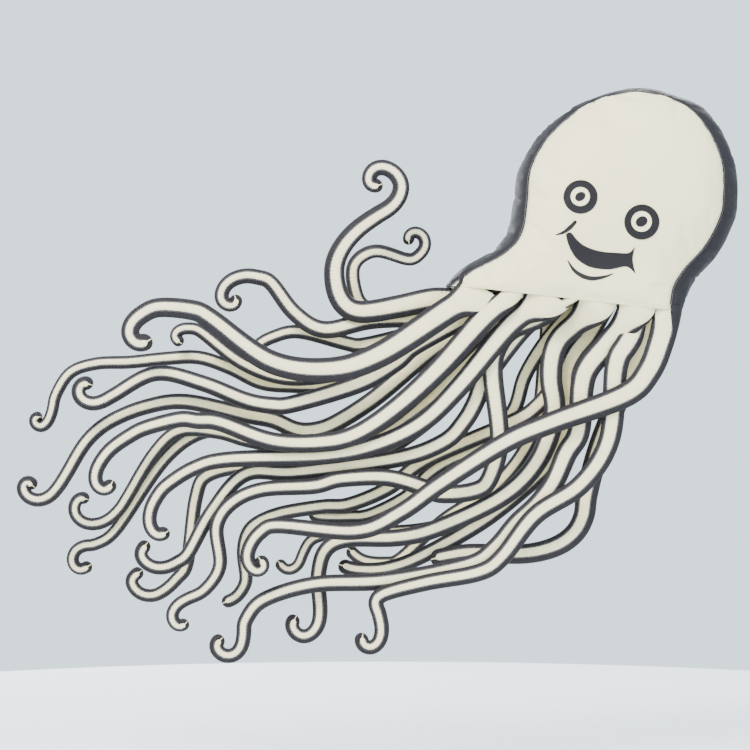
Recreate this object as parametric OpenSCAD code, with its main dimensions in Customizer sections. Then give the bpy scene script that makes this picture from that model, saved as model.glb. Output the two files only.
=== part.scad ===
// Octopus kite: an inflated cloth head with a skirt, a face, a tow keel, an air inlet,
// a dump zip, an inner spreader and 26 inflated arms that swing at the skirt.
// Millimetres, +Z up, the face looks along -Y. The origin is the centre of the tow eyelet.

/* [Head] */
// Y of the middle plane of the head, ahead of the tow eyelet
mid_y = -300; // [-340:5:-290]
// Thickness of the head's cloth panels with their seam allowances
panel_t = 5; // [3:1:6]
// Half angle of the dark edge gussets round the head
gusset_half = 20; // [12:1:26]
// Thickness of the sewn-on face patches
patch_t = 2; // [1:0.5:3]

/* [Arms] */
// Spacing of the arm layers at the skirt
layer_step = 18; // [17:0.5:19]
// Extra spacing that the layers gain for each metre away from the skirt
layer_fan = 8; // [4:1:9]
// Thickness of an arm's solid
arm_t = 14; // [10:1:14]
// Radius of the air ports in the base panel
port_r = 7; // [4:0.5:9]

/* [Keel and tow points] */
// Bore radius of the tow eyelet
eyelet_bore_r = 5; // [4:0.25:6]
// Bore radius of the trim eyelets
trim_bore_r = 3; // [2.5:0.25:4]
// Thickness of the keel cloth
keel_t = 3; // [2:0.5:4]

/* [Inlet and zip] */
// Inner radius of the inlet collar
inlet_r = 60; // [50:1:64]
// Length of the dump zip's tape
zip_len = 180; // [140:5:200]

/* [Spreader] */
// Radius of the glass-fibre spreader rod
rod_r = 3; // [2.5:0.25:4]

/* [Hidden] */
// Head stations from crown to skirt: left edge, right edge, half depth (plane X, Z)
STATIONS = [
    [[20, 284], [80, 286], 14],
    [[-60, 263], [140, 272], 62],
    [[-150, 220], [240, 225], 105],
    [[-240, 135], [300, 150], 140],
    [[-296, 40], [337, 50], 160],
    [[-310, -60], [338, -70], 165],
    [[-322, -135], [320, -135], 162],
    [[-345, -182], [285, -200], 155],
    [[-390, -222], [230, -262], 150],
    [[-460, -262], [192, -318], 152],
    [[-522, -308], [177, -388], 156]
];
last_u = len(STATIONS) - 1;
crown_power = 2;
hem_power = 6;

// Arms: layer from the front, widths at root, shoulder and tip, points in the curl, route
ARMS = [
    [4, [74, 66, 44], 8, [
        [-485, -355], [-560, -350], [-660, -370], [-750, -386], [-798, -384], [-830, -362],
        [-850, -322], [-857, -265], [-847, -220], [-820, -175], [-780, -135], [-730, -100], [-690, -75],
        [-665, -45], [-657, -10], [-670, 20], [-692, 38], [-717, 44], [-740, 36], [-753, 15],
        [-750, -3], [-738, -12], [-722, -8]
    ]],
    [9, [46, 46, 36], 7, [
        [-460, -360], [-540, -380], [-700, -385], [-755, -375], [-790, -340], [-800, -245],
        [-735, -200], [-635, -226], [-605, -215], [-585, -190], [-585, -165], [-597, -148],
        [-617, -143], [-635, -155], [-632, -172]
    ]],
    [5, [56, 56, 42], 6, [
        [-435, -365], [-530, -400], [-740, -410], [-885, -440], [-975, -390], [-1045, -300],
        [-1082, -284], [-1122, -279], [-1160, -290], [-1185, -312], [-1194, -339], [-1187, -358],
        [-1168, -367], [-1150, -360], [-1153, -345]
    ]],
    [7, [50, 50, 38], 2, [
        [-410, -360], [-510, -410], [-620, -450], [-770, -485], [-820, -480], [-965, -445],
        [-1045, -462], [-1085, -485], [-1110, -515]
    ]],
    [0, [84, 76, 52], 4, [
        [-465, -365], [-520, -385], [-720, -515], [-870, -560], [-1045, -535], [-1220, -410],
        [-1270, -385], [-1370, -377], [-1420, -398], [-1448, -425], [-1455, -453], [-1442, -475],
        [-1420, -482], [-1400, -472]
    ]],
    [8, [50, 50, 36], 4, [
        [-385, -360], [-480, -420], [-750, -540], [-840, -570], [-1000, -585], [-1135, -540],
        [-1260, -445], [-1292, -435], [-1317, -436], [-1335, -448], [-1337, -464], [-1322, -476]
    ]],
    [10, [50, 48, 36], 6, [
        [-360, -365], [-480, -445], [-580, -500], [-680, -555], [-780, -590], [-880, -605],
        [-980, -607], [-1080, -598], [-1175, -553], [-1270, -522], [-1370, -525], [-1480, -536],
        [-1580, -540], [-1660, -567], [-1705, -635], [-1715, -680], [-1728, -715], [-1745, -732],
        [-1762, -730], [-1772, -715], [-1768, -702], [-1756, -702]
    ]],
    [3, [60, 56, 42], 5, [
        [-405, -365], [-460, -400], [-620, -490], [-670, -535], [-780, -600], [-975, -660],
        [-1040, -665], [-1120, -650], [-1245, -600], [-1385, -570], [-1510, -635], [-1540, -652],
        [-1570, -660], [-1598, -652], [-1614, -632], [-1612, -610], [-1597, -597], [-1580, -602]
    ]],
    [6, [56, 54, 40], 6, [
        [-375, -365], [-445, -415], [-570, -505], [-730, -640], [-845, -715], [-910, -740],
        [-970, -740], [-1040, -710], [-1120, -695], [-1300, -655], [-1420, -670], [-1530, -715],
        [-1600, -775], [-1655, -865], [-1680, -905], [-1708, -937], [-1740, -950], [-1770, -943],
        [-1788, -922], [-1787, -902], [-1772, -893], [-1758, -906]
    ]],
    [1, [76, 60, 42], 5, [
        [-360, -375], [-410, -405], [-545, -555], [-670, -670], [-790, -750], [-895, -775],
        [-1040, -770], [-1195, -715], [-1260, -710], [-1310, -705], [-1410, -730], [-1460, -755],
        [-1510, -790], [-1540, -825], [-1557, -860], [-1557, -892], [-1540, -910], [-1521, -908],
        [-1512, -893]
    ]],
    [11, [50, 46, 38], 5, [
        [-325, -365], [-400, -435], [-670, -690], [-860, -790], [-960, -800], [-1120, -775],
        [-1210, -750], [-1330, -745], [-1410, -815], [-1495, -955], [-1520, -990], [-1552, -1017],
        [-1590, -1030], [-1626, -1024], [-1650, -1000], [-1652, -970], [-1635, -948], [-1616, -952]
    ]],
    [12, [50, 46, 38], 4, [
        [-300, -370], [-370, -440], [-560, -640], [-760, -770], [-960, -795], [-1060, -785],
        [-1140, -760], [-1260, -750], [-1380, -835], [-1525, -1045], [-1590, -1092], [-1622, -1096],
        [-1650, -1110], [-1662, -1136], [-1655, -1160], [-1635, -1170], [-1612, -1158]
    ]],
    [2, [70, 58, 42], 4, [
        [-265, -385], [-335, -430], [-485, -610], [-600, -720], [-740, -785], [-895, -815],
        [-1170, -825], [-1270, -850], [-1350, -900], [-1380, -935], [-1398, -972], [-1402, -1008],
        [-1392, -1035], [-1371, -1048], [-1353, -1038]
    ]],
    [13, [50, 50, 40], 3, [
        [-270, -370], [-350, -460], [-520, -660], [-620, -750], [-720, -805], [-920, -850],
        [-1100, -850], [-1245, -880], [-1285, -950], [-1312, -1150], [-1340, -1195], [-1375, -1230],
        [-1410, -1250], [-1445, -1250], [-1470, -1235], [-1484, -1212], [-1478, -1192], [-1458, -1178]
    ]],
    [4, [60, 54, 40], 4, [
        [-230, -385], [-300, -445], [-405, -585], [-435, -655], [-470, -715], [-530, -775],
        [-670, -825], [-970, -865], [-1120, -870], [-1220, -980], [-1290, -1105], [-1320, -1130],
        [-1350, -1145], [-1382, -1149], [-1410, -1139], [-1430, -1118], [-1431, -1098], [-1416, -1078]
    ]],
    [3, [66, 56, 38], 5, [
        [-180, -390], [-260, -410], [-330, -440], [-370, -490], [-385, -565], [-365, -765],
        [-395, -885], [-440, -920], [-540, -930], [-590, -910], [-700, -880], [-840, -885],
        [-915, -905], [-1070, -915], [-1160, -955], [-1205, -1025], [-1195, -1140], [-1240, -1212],
        [-1295, -1240], [-1323, -1259], [-1337, -1285], [-1330, -1310], [-1312, -1320], [-1298, -1310]
    ]],
    [0, [84, 64, 42], 5, [
        [125, -430], [110, -480], [75, -565], [5, -635], [-210, -715], [-350, -775], [-540, -895],
        [-660, -980], [-790, -1035], [-1020, -1018], [-1070, -1035], [-1100, -1070], [-1112, -1110],
        [-1100, -1140], [-1081, -1150], [-1064, -1136], [-1076, -1117]
    ]],
    [7, [50, 50, 40], 2, [
        [-120, -390], [-145, -490], [-185, -590], [-255, -675], [-330, -720], [-580, -830],
        [-695, -915], [-815, -965], [-890, -970], [-1015, -990], [-1090, -1020], [-1120, -1055],
        [-1130, -1110], [-1122, -1185], [-1134, -1220], [-1156, -1245], [-1185, -1258]
    ]],
    [8, [46, 46, 38], 2, [
        [-150, -390], [-225, -480], [-285, -580], [-320, -685], [-415, -790], [-505, -830],
        [-575, -875], [-640, -940], [-750, -995], [-815, -1002], [-890, -1002], [-925, -995]
    ]],
    [2, [80, 62, 42], 6, [
        [20, -420], [-40, -480], [-100, -550], [-120, -610], [-130, -745], [-165, -805], [-205, -895],
        [-255, -960], [-315, -1015], [-380, -1090], [-460, -1140], [-700, -1185], [-915, -1195],
        [-1065, -1240], [-1118, -1300], [-1123, -1335], [-1128, -1370], [-1142, -1395], [-1163, -1406],
        [-1186, -1403], [-1204, -1386], [-1205, -1366], [-1192, -1355]
    ]],
    [4, [74, 60, 42], 5, [
        [-100, -405], [-145, -430], [-185, -470], [-205, -520], [-210, -590], [-200, -690],
        [-245, -825], [-350, -935], [-545, -1030], [-665, -1060], [-820, -1065], [-885, -1100],
        [-905, -1180], [-902, -1225], [-898, -1280], [-905, -1320], [-926, -1347], [-952, -1354],
        [-975, -1340], [-984, -1316], [-974, -1299]
    ]],
    [9, [46, 46, 38], 3, [
        [-210, -380], [-220, -490], [-250, -730], [-360, -900], [-525, -1010], [-660, -1130],
        [-705, -1142], [-750, -1140], [-785, -1128], [-810, -1105]
    ]],
    [10, [44, 44, 34], 3, [
        [-80, -395], [-160, -500], [-210, -770], [-280, -880], [-410, -980], [-560, -1035],
        [-700, -1050], [-820, -1050], [-920, -1070], [-953, -1115], [-963, -1142], [-983, -1163],
        [-1008, -1164], [-1025, -1145]
    ]],
    [1, [76, 62, 42], 5, [
        [65, -430], [15, -480], [-20, -550], [-40, -765], [-125, -900], [-260, -990], [-360, -1115],
        [-430, -1160], [-590, -1190], [-725, -1230], [-722, -1285], [-716, -1315], [-717, -1345],
        [-728, -1369], [-747, -1381], [-766, -1377], [-777, -1361], [-774, -1346]
    ]],
    [6, [56, 56, 44], 2, [
        [-60, -400], [-95, -460], [-135, -510], [-160, -570], [-160, -680], [-170, -750], [-200, -805],
        [-235, -865], [-400, -1005], [-590, -1115], [-700, -1155], [-790, -1158], [-835, -1145]
    ]],
    [5, [60, 70, 54], 2, [
        [100, -420], [45, -520], [-60, -780], [-100, -925], [-110, -995], [-140, -1050], [-200, -1090],
        [-295, -1110], [-445, -1107], [-510, -1115], [-560, -1125]
    ]]
];
last_layer = 13;
fan_x = 190;
shoulder = 0.35;
route_steps = 4;
pad_ease = 1;

eps = 0.3;
gusset_in = gusset_half - 0.3;
base_t = 3;
plate_gap = 3;
facing_u = 9.7;
facing_t = 10;
facing_inset = 13;
rib_t = 1.6;
rib_stations = [4.5, 7.6];
crossport_r = 38;
notch_gap = 9;
cap_u = 0.12;
crown_lift = 0.5;

LEFT_EYE = [-130, -51];
RIGHT_EYE = [50, -125];
MOUTH = [
    [-172, -163], [-157, -153], [-140, -175], [-110, -198], [-60, -215], [10, -215],
    [30, -198], [27, -238], [31, -278], [7, -254], [-30, -263], [-75, -263], [-110, -250],
    [-140, -225], [-160, -195]
];
CHEEK = [[-200, -162], [-180, -153], [-160, -138], [-145, -125]];
CHIN = [[-167, -238], [-150, -265], [-125, -283], [-95, -291], [-60, -286], [-35, -277]];
line_w = 11;

keel_stations = [2.6, 3.4, 4.2, 5, 5.8, 6.4];
keel_lip = 14;
foot_gap = 1.8;
TRIM = [[-34, 44], [-34, -44]];
flange_t = 1;
flange_lap = 5;
barrel_wall = 1.5;
patch_round = 30;
keel_patch_t = 1.2;

inlet_at = [-150, -20];
inlet_tube = 70;
collar_t = 3;
mesh_t = 1.2;
mesh_hole_r = 3.2;
mesh_pitch = 11;

zip_at = [150, -20];
zip_out = 6.2;
zip_turn = -14;
zip_lean = 4;
tape_w = 30;
tape_t = 1.2;
coil_w = 5;
coil_t = 1.8;
slider_size = [10, 4, 13];
slider_wall = 0.9;
run_gap = 0.35;
pull_size = [7, 1.4, 26];
pull_pin_r = 0.9;

rod_z_gap = 7;
rod_clear = 0.05;
sleeve_wall = 1.2;
rod_inset = 34;
cap_len = 22;

cream = "#faf5de";
charcoal = "#4b494c";
brassy = "#c9a24b";

function arm_name(i) = str("arm_", i < 9 ? "0" : "", i + 1);
ARM_NODES = [for (i = [0 : len(ARMS) - 1]) arm_name(i)];

// Curve maths
function curve(a, b, c, d, t) =
    0.5 * (2 * b + (c - a) * t + (2 * a - 5 * b + 4 * c - d) * t * t
        + (3 * b - a - 3 * c + d) * t * t * t);
function at(P, i) = P[min(max(i, 0), len(P) - 1)];
function along(P, i, t) = curve(at(P, i - 1), at(P, i), at(P, i + 1), at(P, i + 2), t);
function smooth(P) = concat(
    [for (i = [0 : len(P) - 2]) for (k = [0 : route_steps - 1]) along(P, i, k / route_steps)],
    [at(P, len(P) - 1)]);
function unit(v) = v / norm(v);
function side(v) = [-v[1], v[0]];
function heading(S, i) = unit(at(S, i + 1) - at(S, i - 1));
function spaced(S) =
    [for (i = 0, s = 0; i < len(S); s = s + norm(at(S, i + 1) - S[i]), i = i + 1) s];
function mean(P, i = 0) = i == len(P) - 1 ? P[i] / len(P) : P[i] / len(P) + mean(P, i + 1);
function farthest(P, c) = max([for (p = P) norm(p - c)]);

// The head as a run of rounded oval sections
function station(u, k) =
    let (i = min(floor(u), last_u - 1))
    along([for (s = STATIONS) s[k]], i, u - i);
function power(u) = crown_power + (hem_power - crown_power) * pow(u / last_u, 2);
function rounded(v, n) = sign(v) * pow(abs(v), 2 / n);
function skin(u, a, grow) =
    let (
        left = station(u, 0),
        right = station(u, 1),
        middle = (left + right) / 2,
        across = unit(right - left),
        half = norm(right - left) / 2 + grow,
        deep = station(u, 2) + grow,
        n = power(u),
        p = middle + across * half * rounded(cos(a), n)
    )
    [p[0], mid_y + deep * rounded(sin(a), n), p[1]];

// A closed slab of cloth over a patch of the skin, between two offsets
module cloth(u0, u1, a0, a1, inner, outer, rows, columns) {
    w = columns + 1;
    count = (rows + 1) * w;
    function grid(grow) = [
        for (i = [0 : rows]) for (j = [0 : columns])
        skin(u0 + (u1 - u0) * i / rows, a0 + (a1 - a0) * j / columns, grow)
    ];
    function quad(a, b, c, d) = [[a, b, c], [a, c, d]];
    tops = [for (i = [0 : rows - 1]) for (j = [0 : columns - 1])
        each quad(i * w + j, i * w + j + 1, (i + 1) * w + j + 1, (i + 1) * w + j)];
    unders = [for (f = tops) [f[2] + count, f[1] + count, f[0] + count]];
    starts = [for (j = [0 : columns - 1]) each quad(j + 1, j, j + count, j + 1 + count)];
    ends = [for (j = [0 : columns - 1])
        each quad(rows * w + j, rows * w + j + 1, rows * w + j + 1 + count, rows * w + j + count)];
    lefts = [for (i = [0 : rows - 1])
        each quad(i * w, (i + 1) * w, (i + 1) * w + count, i * w + count)];
    rights = [for (i = [0 : rows - 1])
        each quad((i + 1) * w + columns, i * w + columns, i * w + columns + count,
            (i + 1) * w + columns + count)];
    polyhedron(concat(grid(outer), grid(inner)), concat(tops, unders, starts, ends, lefts, rights));
}

// Turns a flat shape drawn in X and Z into a slab with its thickness along Y
module upright(thick) {
    rotate([90, 0, 0])
        linear_extrude(thick, center = true)
            children();
}

// A flat oval plate lying across the head at a station, with its children cut out of it
function oval(u, inset) =
    let (
        half = norm(station(u, 1) - station(u, 0)) / 2 - inset,
        deep = station(u, 2) - inset
    )
    [for (a = [0 : 6 : 354])
        [half * rounded(cos(a), power(u)), deep * rounded(sin(a), power(u))]];
module across_plate(u, thick, inset) {
    left = station(u, 0);
    right = station(u, 1);
    middle = (left + right) / 2;
    lean = atan2(right[1] - left[1], right[0] - left[0]);
    translate([middle[0], mid_y, middle[1]])
        rotate([0, -lean, 0])
            linear_extrude(thick, center = true)
                difference() {
                    polygon(oval(u, inset));
                    children();
                }
}

module front_panel() {
    color(cream)
        cloth(cap_u, last_u, 180 + gusset_half, 360 - gusset_half, -panel_t, 0, 22, 14);
}

module back_panel() {
    color(cream)
        difference() {
            cloth(cap_u, last_u, gusset_half, 180 - gusset_half, -panel_t, 0, 22, 14);
            translate([inlet_at[0], mid_y + 150, inlet_at[1]])
                rotate([90, 0, 0])
                    cylinder(h = 120, r = inlet_r + collar_t, center = true, $fn = 96);
        }
}

module left_gusset() {
    color(charcoal)
        cloth(cap_u, last_u, 180 - gusset_in, 180 + gusset_in, -panel_t, 0, 22, 4);
}

module right_gusset() {
    color(charcoal)
        cloth(cap_u, last_u, -gusset_in, gusset_in, -panel_t, 0, 22, 4);
}

module crown_patch() {
    color(charcoal)
        translate([0, 0, crown_lift])
            across_plate(0, 2, -1);
}

module base_panel() {
    color(charcoal)
        across_plate(last_u, base_t, panel_t + plate_gap)
            for (arm = ARMS)
                translate([base_slide(arm), layer_y(arm) - mid_y])
                    circle(r = port_r, $fn = 24);
}

module hem_facing() {
    color(cream)
        across_plate(facing_u, facing_t, facing_inset)
            polygon(oval(facing_u, facing_inset + panel_t));
}

module rib(u) {
    color(cream)
        across_plate(u, rib_t, panel_t + plate_gap) {
            for (x = [-180, -60, 60, 180])
                translate([x, 0])
                    circle(r = crossport_r, $fn = 48);
            children();
        }
}

// The upper rib has a notch round the inlet's collar
module upper_rib() {
    middle = (station(rib_stations[0], 0) + station(rib_stations[0], 1)) / 2;
    rib(rib_stations[0])
        translate([inlet_at[0] - middle[0] - inlet_r - notch_gap, station(5, 2) - inlet_tube])
            square([2 * (inlet_r + notch_gap), 2 * inlet_tube]);
}

module lower_rib() {
    rib(rib_stations[1]);
}

// A face patch: the part of the front skin that lies behind a flat outline
module face_patch(u0, u1, a0, a1) {
    intersection() {
        cloth(u0, u1, a0, a1, eps, eps + patch_t, 12, 12);
        translate([0, mid_y - 100, 0])
            upright(260)
                children();
    }
}

module ring(centre, outer, inner) {
    translate(centre)
        difference() {
            circle(r = outer, $fn = 64);
            circle(r = inner, $fn = 64);
        }
}

module spot(centre, r) {
    translate(centre)
        circle(r = r, $fn = 64);
}

module stroke(P, w) {
    S = smooth(P);
    n = len(S) - 1;
    polygon(concat(
        [for (i = [0 : n]) S[i] + side(heading(S, i)) * w / 2],
        [for (i = [n : -1 : 0]) S[i] - side(heading(S, i)) * w / 2]));
}

module left_eye_ring() {
    color(charcoal)
        face_patch(3.6, 6.2, 225, 285)
            ring(LEFT_EYE, 50, 28.5 + eps);
}

module left_eye_white() {
    color("white")
        face_patch(3.6, 6.2, 225, 285)
            ring(LEFT_EYE, 28.5, 15 + eps);
}

module left_pupil() {
    color(charcoal)
        face_patch(3.6, 6.2, 225, 285)
            spot(LEFT_EYE, 15);
}

module right_eye_ring() {
    color(charcoal)
        face_patch(4.4, 7, 260, 315)
            ring(RIGHT_EYE, 52, 30.5 + eps);
}

module right_eye_white() {
    color("white")
        face_patch(4.4, 7, 260, 315)
            ring(RIGHT_EYE, 30.5, 17 + eps);
}

module right_pupil() {
    color(charcoal)
        face_patch(4.4, 7, 260, 315)
            spot(RIGHT_EYE, 17);
}

module mouth_patch() {
    color(charcoal)
        face_patch(5.8, 8.7, 230, 310)
            polygon(MOUTH);
}

module cheek_line() {
    color(charcoal)
        face_patch(5.4, 7.6, 225, 290)
            stroke(CHEEK, line_w);
}

module chin_line() {
    color(charcoal)
        face_patch(6.6, 9.4, 240, 310)
            stroke(CHIN, line_w);
}

// Keel: a fin on the back of the head that ends at the tow eyelet (drawn in Y and Z)
function keel_foot(u) =
    let (p = skin(u, 90, foot_gap))
    [p[1], p[2]];

module keel_sheet(thick, cut) {
    rotate([90, 0, 90])
        linear_extrude(thick, center = true)
            difference() {
                polygon(concat(
                    [for (u = keel_stations) keel_foot(u)],
                    [[keel_lip - 14, -24], [keel_lip, -12], [keel_lip, 12], [keel_lip - 14, 24]]));
                circle(r = cut, $fn = 48);
                for (t = TRIM)
                    translate(t)
                        circle(r = trim_bore_r + barrel_wall, $fn = 48);
            }
}

module keel_fin() {
    color(cream)
        keel_sheet(keel_t, eyelet_bore_r + barrel_wall);
}

module keel_patches() {
    color(charcoal)
        for (s = [-1, 1])
            translate([s * (keel_t + keel_patch_t) / 2, 0, 0])
                rotate([90, 0, 90])
                    linear_extrude(keel_patch_t, center = true)
                        difference() {
                            intersection() {
                                translate([-12, 0])
                                    circle(r = patch_round, $fn = 64);
                                translate([-patch_round, 0])
                                    square([2 * patch_round + 2 * (keel_lip - 2), 44], center = true);
                            }
                            circle(r = eyelet_bore_r + barrel_wall, $fn = 48);
                        }
}

// A brass eyelet: one turned piece with a barrel and two rolled flanges, its bore along X
module eyelet(bore, stack) {
    half = stack / 2 + flange_t;
    barrel = bore + barrel_wall;
    rotate([0, 90, 0])
        rotate_extrude($fn = 64)
            polygon([
                [bore, -half], [barrel + flange_lap, -half], [barrel + flange_lap, -stack / 2],
                [barrel, -stack / 2], [barrel, stack / 2], [barrel + flange_lap, stack / 2],
                [barrel + flange_lap, half], [bore, half]
            ]);
}

module tow_eyelet() {
    color(brassy)
        eyelet(eyelet_bore_r, keel_t + 2 * keel_patch_t);
}

module trim_eyelets() {
    color(brassy)
        for (t = TRIM)
            translate([0, t[0], t[1]])
                eyelet(trim_bore_r, keel_t);
}

// Air inlet on the back: a stiff collar with a mesh disc inside it
module inlet_collar() {
    color(charcoal)
        translate([inlet_at[0], mid_y + station(5, 2) - inlet_tube / 2 + 6, inlet_at[1]])
            rotate([90, 0, 0])
                difference() {
                    cylinder(h = inlet_tube, r = inlet_r + collar_t - eps, center = true, $fn = 96);
                    cylinder(h = inlet_tube + 2, r = inlet_r, center = true, $fn = 96);
                }
}

module inlet_mesh() {
    color(charcoal)
        translate([inlet_at[0], mid_y + station(5, 2) - 4, inlet_at[1]])
            upright(mesh_t)
                difference() {
                    circle(r = inlet_r - eps, $fn = 96);
                    for (i = [-4 : 4])
                        for (j = [-4 : 4])
                            if (norm([i, j]) * mesh_pitch < inlet_r - mesh_pitch)
                                translate([i, j] * mesh_pitch)
                                    circle(r = mesh_hole_r, $fn = 16);
                }
}

// Dump zip on the back: tape, coil, slider and pull, all set square to the cloth
module on_zip() {
    translate([zip_at[0], mid_y + station(5, 2) * 0.95 + zip_out, zip_at[1]])
        rotate([0, 0, zip_turn])
            rotate([zip_lean, 0, 0])
                children();
}

module zip_tape() {
    color(charcoal)
        on_zip()
            cube([tape_w, tape_t, zip_len], center = true);
}

module zip_coil() {
    color(charcoal)
        on_zip()
            translate([0, (tape_t + coil_t) / 2, 0])
                cube([coil_w, coil_t, zip_len - 12], center = true);
}

coil_top = tape_t / 2 + coil_t;
slider_z = zip_len / 2 - 24;
slider_base = tape_t / 2 + run_gap;
pull_y = slider_base + slider_size[1] + 2.6;

module zip_slider() {
    tunnel_w = coil_w + 2 * run_gap;
    tunnel_h = coil_t;
    color(brassy)
        on_zip()
            translate([0, 0, slider_z]) {
                difference() {
                    translate([-slider_size[0] / 2, slider_base, -slider_size[2] / 2])
                        cube(slider_size);
                    translate([-tunnel_w / 2, 0, -slider_size[2]])
                        cube([tunnel_w, tunnel_h + slider_base, 2 * slider_size[2]]);
                }
                for (s = [-1, 1])
                    translate([s * 3.9 - 0.7, slider_base + slider_size[1] - eps, -2])
                        cube([1.4, 4.4, 4]);
                translate([0, pull_y, 0])
                    rotate([0, 90, 0])
                        cylinder(h = 8, r = pull_pin_r, center = true, $fn = 32);
            }
}

module zip_pull() {
    eye_r = pull_pin_r + 1.3;
    color(brassy)
        on_zip()
            translate([0, pull_y, slider_z]) {
                difference() {
                    union() {
                        rotate([0, 90, 0])
                            cylinder(h = 4, r = eye_r, center = true, $fn = 48);
                        translate([-2, -0.7, -8])
                            cube([4, 1.4, 7]);
                        translate([-pull_size[0] / 2, -0.7, -8 - pull_size[2]])
                            cube(pull_size);
                    }
                    rotate([0, 90, 0])
                        cylinder(h = 6, r = pull_pin_r + run_gap, center = true, $fn = 48);
                }
            }
}

// Inner spreader: a glass-fibre rod in a sleeve along the upper rib
module along_rib() {
    left = station(rib_stations[0], 0);
    right = station(rib_stations[0], 1);
    middle = (left + right) / 2;
    lean = atan2(right[1] - left[1], right[0] - left[0]);
    translate([middle[0], mid_y, middle[1]])
        rotate([0, -lean, 0])
            translate([0, 0, rod_z_gap])
                rotate([0, 90, 0])
                    children();
}

rod_half = norm(station(rib_stations[0], 1) - station(rib_stations[0], 0)) / 2 - rod_inset;

module spreader_rod() {
    color(charcoal)
        along_rib()
            cylinder(h = 2 * rod_half, r = rod_r, center = true, $fn = 48);
}

module rod_sleeve() {
    color(cream)
        along_rib()
            difference() {
                cylinder(h = 2 * rod_half - 60, r = rod_r + rod_clear + sleeve_wall, center = true,
                    $fn = 48);
                cylinder(h = 2 * rod_half, r = rod_r + rod_clear, center = true, $fn = 48);
            }
}

module rod_caps() {
    color(charcoal)
        along_rib()
            for (s = [-1, 1])
                translate([0, 0, s * (rod_half - cap_len / 2 + 5)])
                    difference() {
                        cylinder(h = cap_len, r = rod_r + 2, center = true, $fn = 48);
                        translate([0, 0, -s * 5])
                            cylinder(h = cap_len, r = rod_r + rod_clear, center = true, $fn = 48);
                    }
}

// Arms: each is flat in its own plane, so that it can swing without meeting the others
function layer_offset(arm) = arm[0] - last_layer / 2;
function layer_y(arm) =
    mid_y + layer_offset(arm) * (layer_step + layer_fan / 1000 * (fan_x - arm[3][0][0]));
function fan_angle(arm) = atan(layer_offset(arm) * layer_fan / 1000);
function base_slide(arm) =
    let (
        left = station(last_u, 0),
        right = station(last_u, 1)
    )
    (arm[3][0] - (left + right) / 2) * unit(right - left);

module arm_shape(arm) {
    route = [for (p = arm[3]) p - arm[3][0]];
    curl = [for (i = [len(route) - arm[2] : len(route) - 1]) route[i]];
    hub = mean(curl);
    S = smooth(route);
    lengths = spaced(S);
    total = lengths[len(S) - 1];
    w = arm[1];
    function half_width(i) =
        let (s = lengths[i] / total)
        (s < shoulder ? w[0] + (w[1] - w[0]) * s / shoulder
            : w[1] + (w[2] - w[1]) * (s - shoulder) / (1 - shoulder)) / 2;
    end = (len(route) - arm[2]) * route_steps;
    upright(arm_t)
        polygon(concat(
            [for (i = [0 : end]) S[i] + side(heading(S, i)) * half_width(i)],
            [for (i = [end : -1 : 0]) S[i] - side(heading(S, i)) * half_width(i)]));
    upright(arm_t)
        circle(r = w[0] / 2 + pad_ease, $fn = 64);
    translate([hub[0], 0, hub[1]])
        upright(arm_t)
            circle(r = farthest(curl, hub) + w[2] / 2 + pad_ease, $fn = 64);
}

module arm(i) {
    arm = ARMS[i];
    color(i % 2 == 0 ? cream : charcoal)
        translate([arm[3][0][0], layer_y(arm), arm[3][0][1]])
            rotate([0, 0, -fan_angle(arm)])
                arm_shape(arm);
}

front_panel();
back_panel();
left_gusset();
right_gusset();
crown_patch();
base_panel();
hem_facing();
upper_rib();
lower_rib();
left_eye_ring();
left_eye_white();
left_pupil();
right_eye_ring();
right_eye_white();
right_pupil();
mouth_patch();
cheek_line();
chin_line();
keel_fin();
keel_patches();
tow_eyelet();
trim_eyelets();
inlet_collar();
inlet_mesh();
zip_tape();
zip_coil();
zip_slider();
zip_pull();
spreader_rod();
rod_sleeve();
rod_caps();
for (i = [0 : len(ARMS) - 1])
    arm(i);
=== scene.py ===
import math
import bpy
import numpy as np
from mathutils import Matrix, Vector
from mathutils.bvhtree import BVHTree


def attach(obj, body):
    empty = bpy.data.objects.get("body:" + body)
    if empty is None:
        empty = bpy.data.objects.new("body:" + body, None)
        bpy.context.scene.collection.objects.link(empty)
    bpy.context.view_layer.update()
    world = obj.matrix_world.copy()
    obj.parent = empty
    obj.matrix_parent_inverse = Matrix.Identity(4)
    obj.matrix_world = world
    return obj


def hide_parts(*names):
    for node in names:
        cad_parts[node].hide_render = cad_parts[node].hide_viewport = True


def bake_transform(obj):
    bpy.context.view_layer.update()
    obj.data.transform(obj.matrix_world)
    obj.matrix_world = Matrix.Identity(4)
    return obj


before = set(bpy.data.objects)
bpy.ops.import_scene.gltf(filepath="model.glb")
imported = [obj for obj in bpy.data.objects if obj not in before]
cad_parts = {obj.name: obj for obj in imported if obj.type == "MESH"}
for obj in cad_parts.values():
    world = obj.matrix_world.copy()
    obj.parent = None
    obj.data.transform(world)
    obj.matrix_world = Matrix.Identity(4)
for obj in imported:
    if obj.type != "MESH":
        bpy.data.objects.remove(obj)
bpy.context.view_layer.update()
print("stage: frame loaded")


# Node helpers: a value may be a number or another node's output
def feed(tree, socket, value):
    if isinstance(value, bpy.types.NodeSocket):
        tree.links.new(value, socket)
    else:
        socket.default_value = value


def newNode(tree, kind, settings=None, **values):
    node = tree.nodes.new(kind)
    for label, value in (settings or {}).items():
        setattr(node, label, value)
    for label, value in values.items():
        feed(tree, node.inputs[label.replace("_", " ")], value)
    return node


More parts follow.
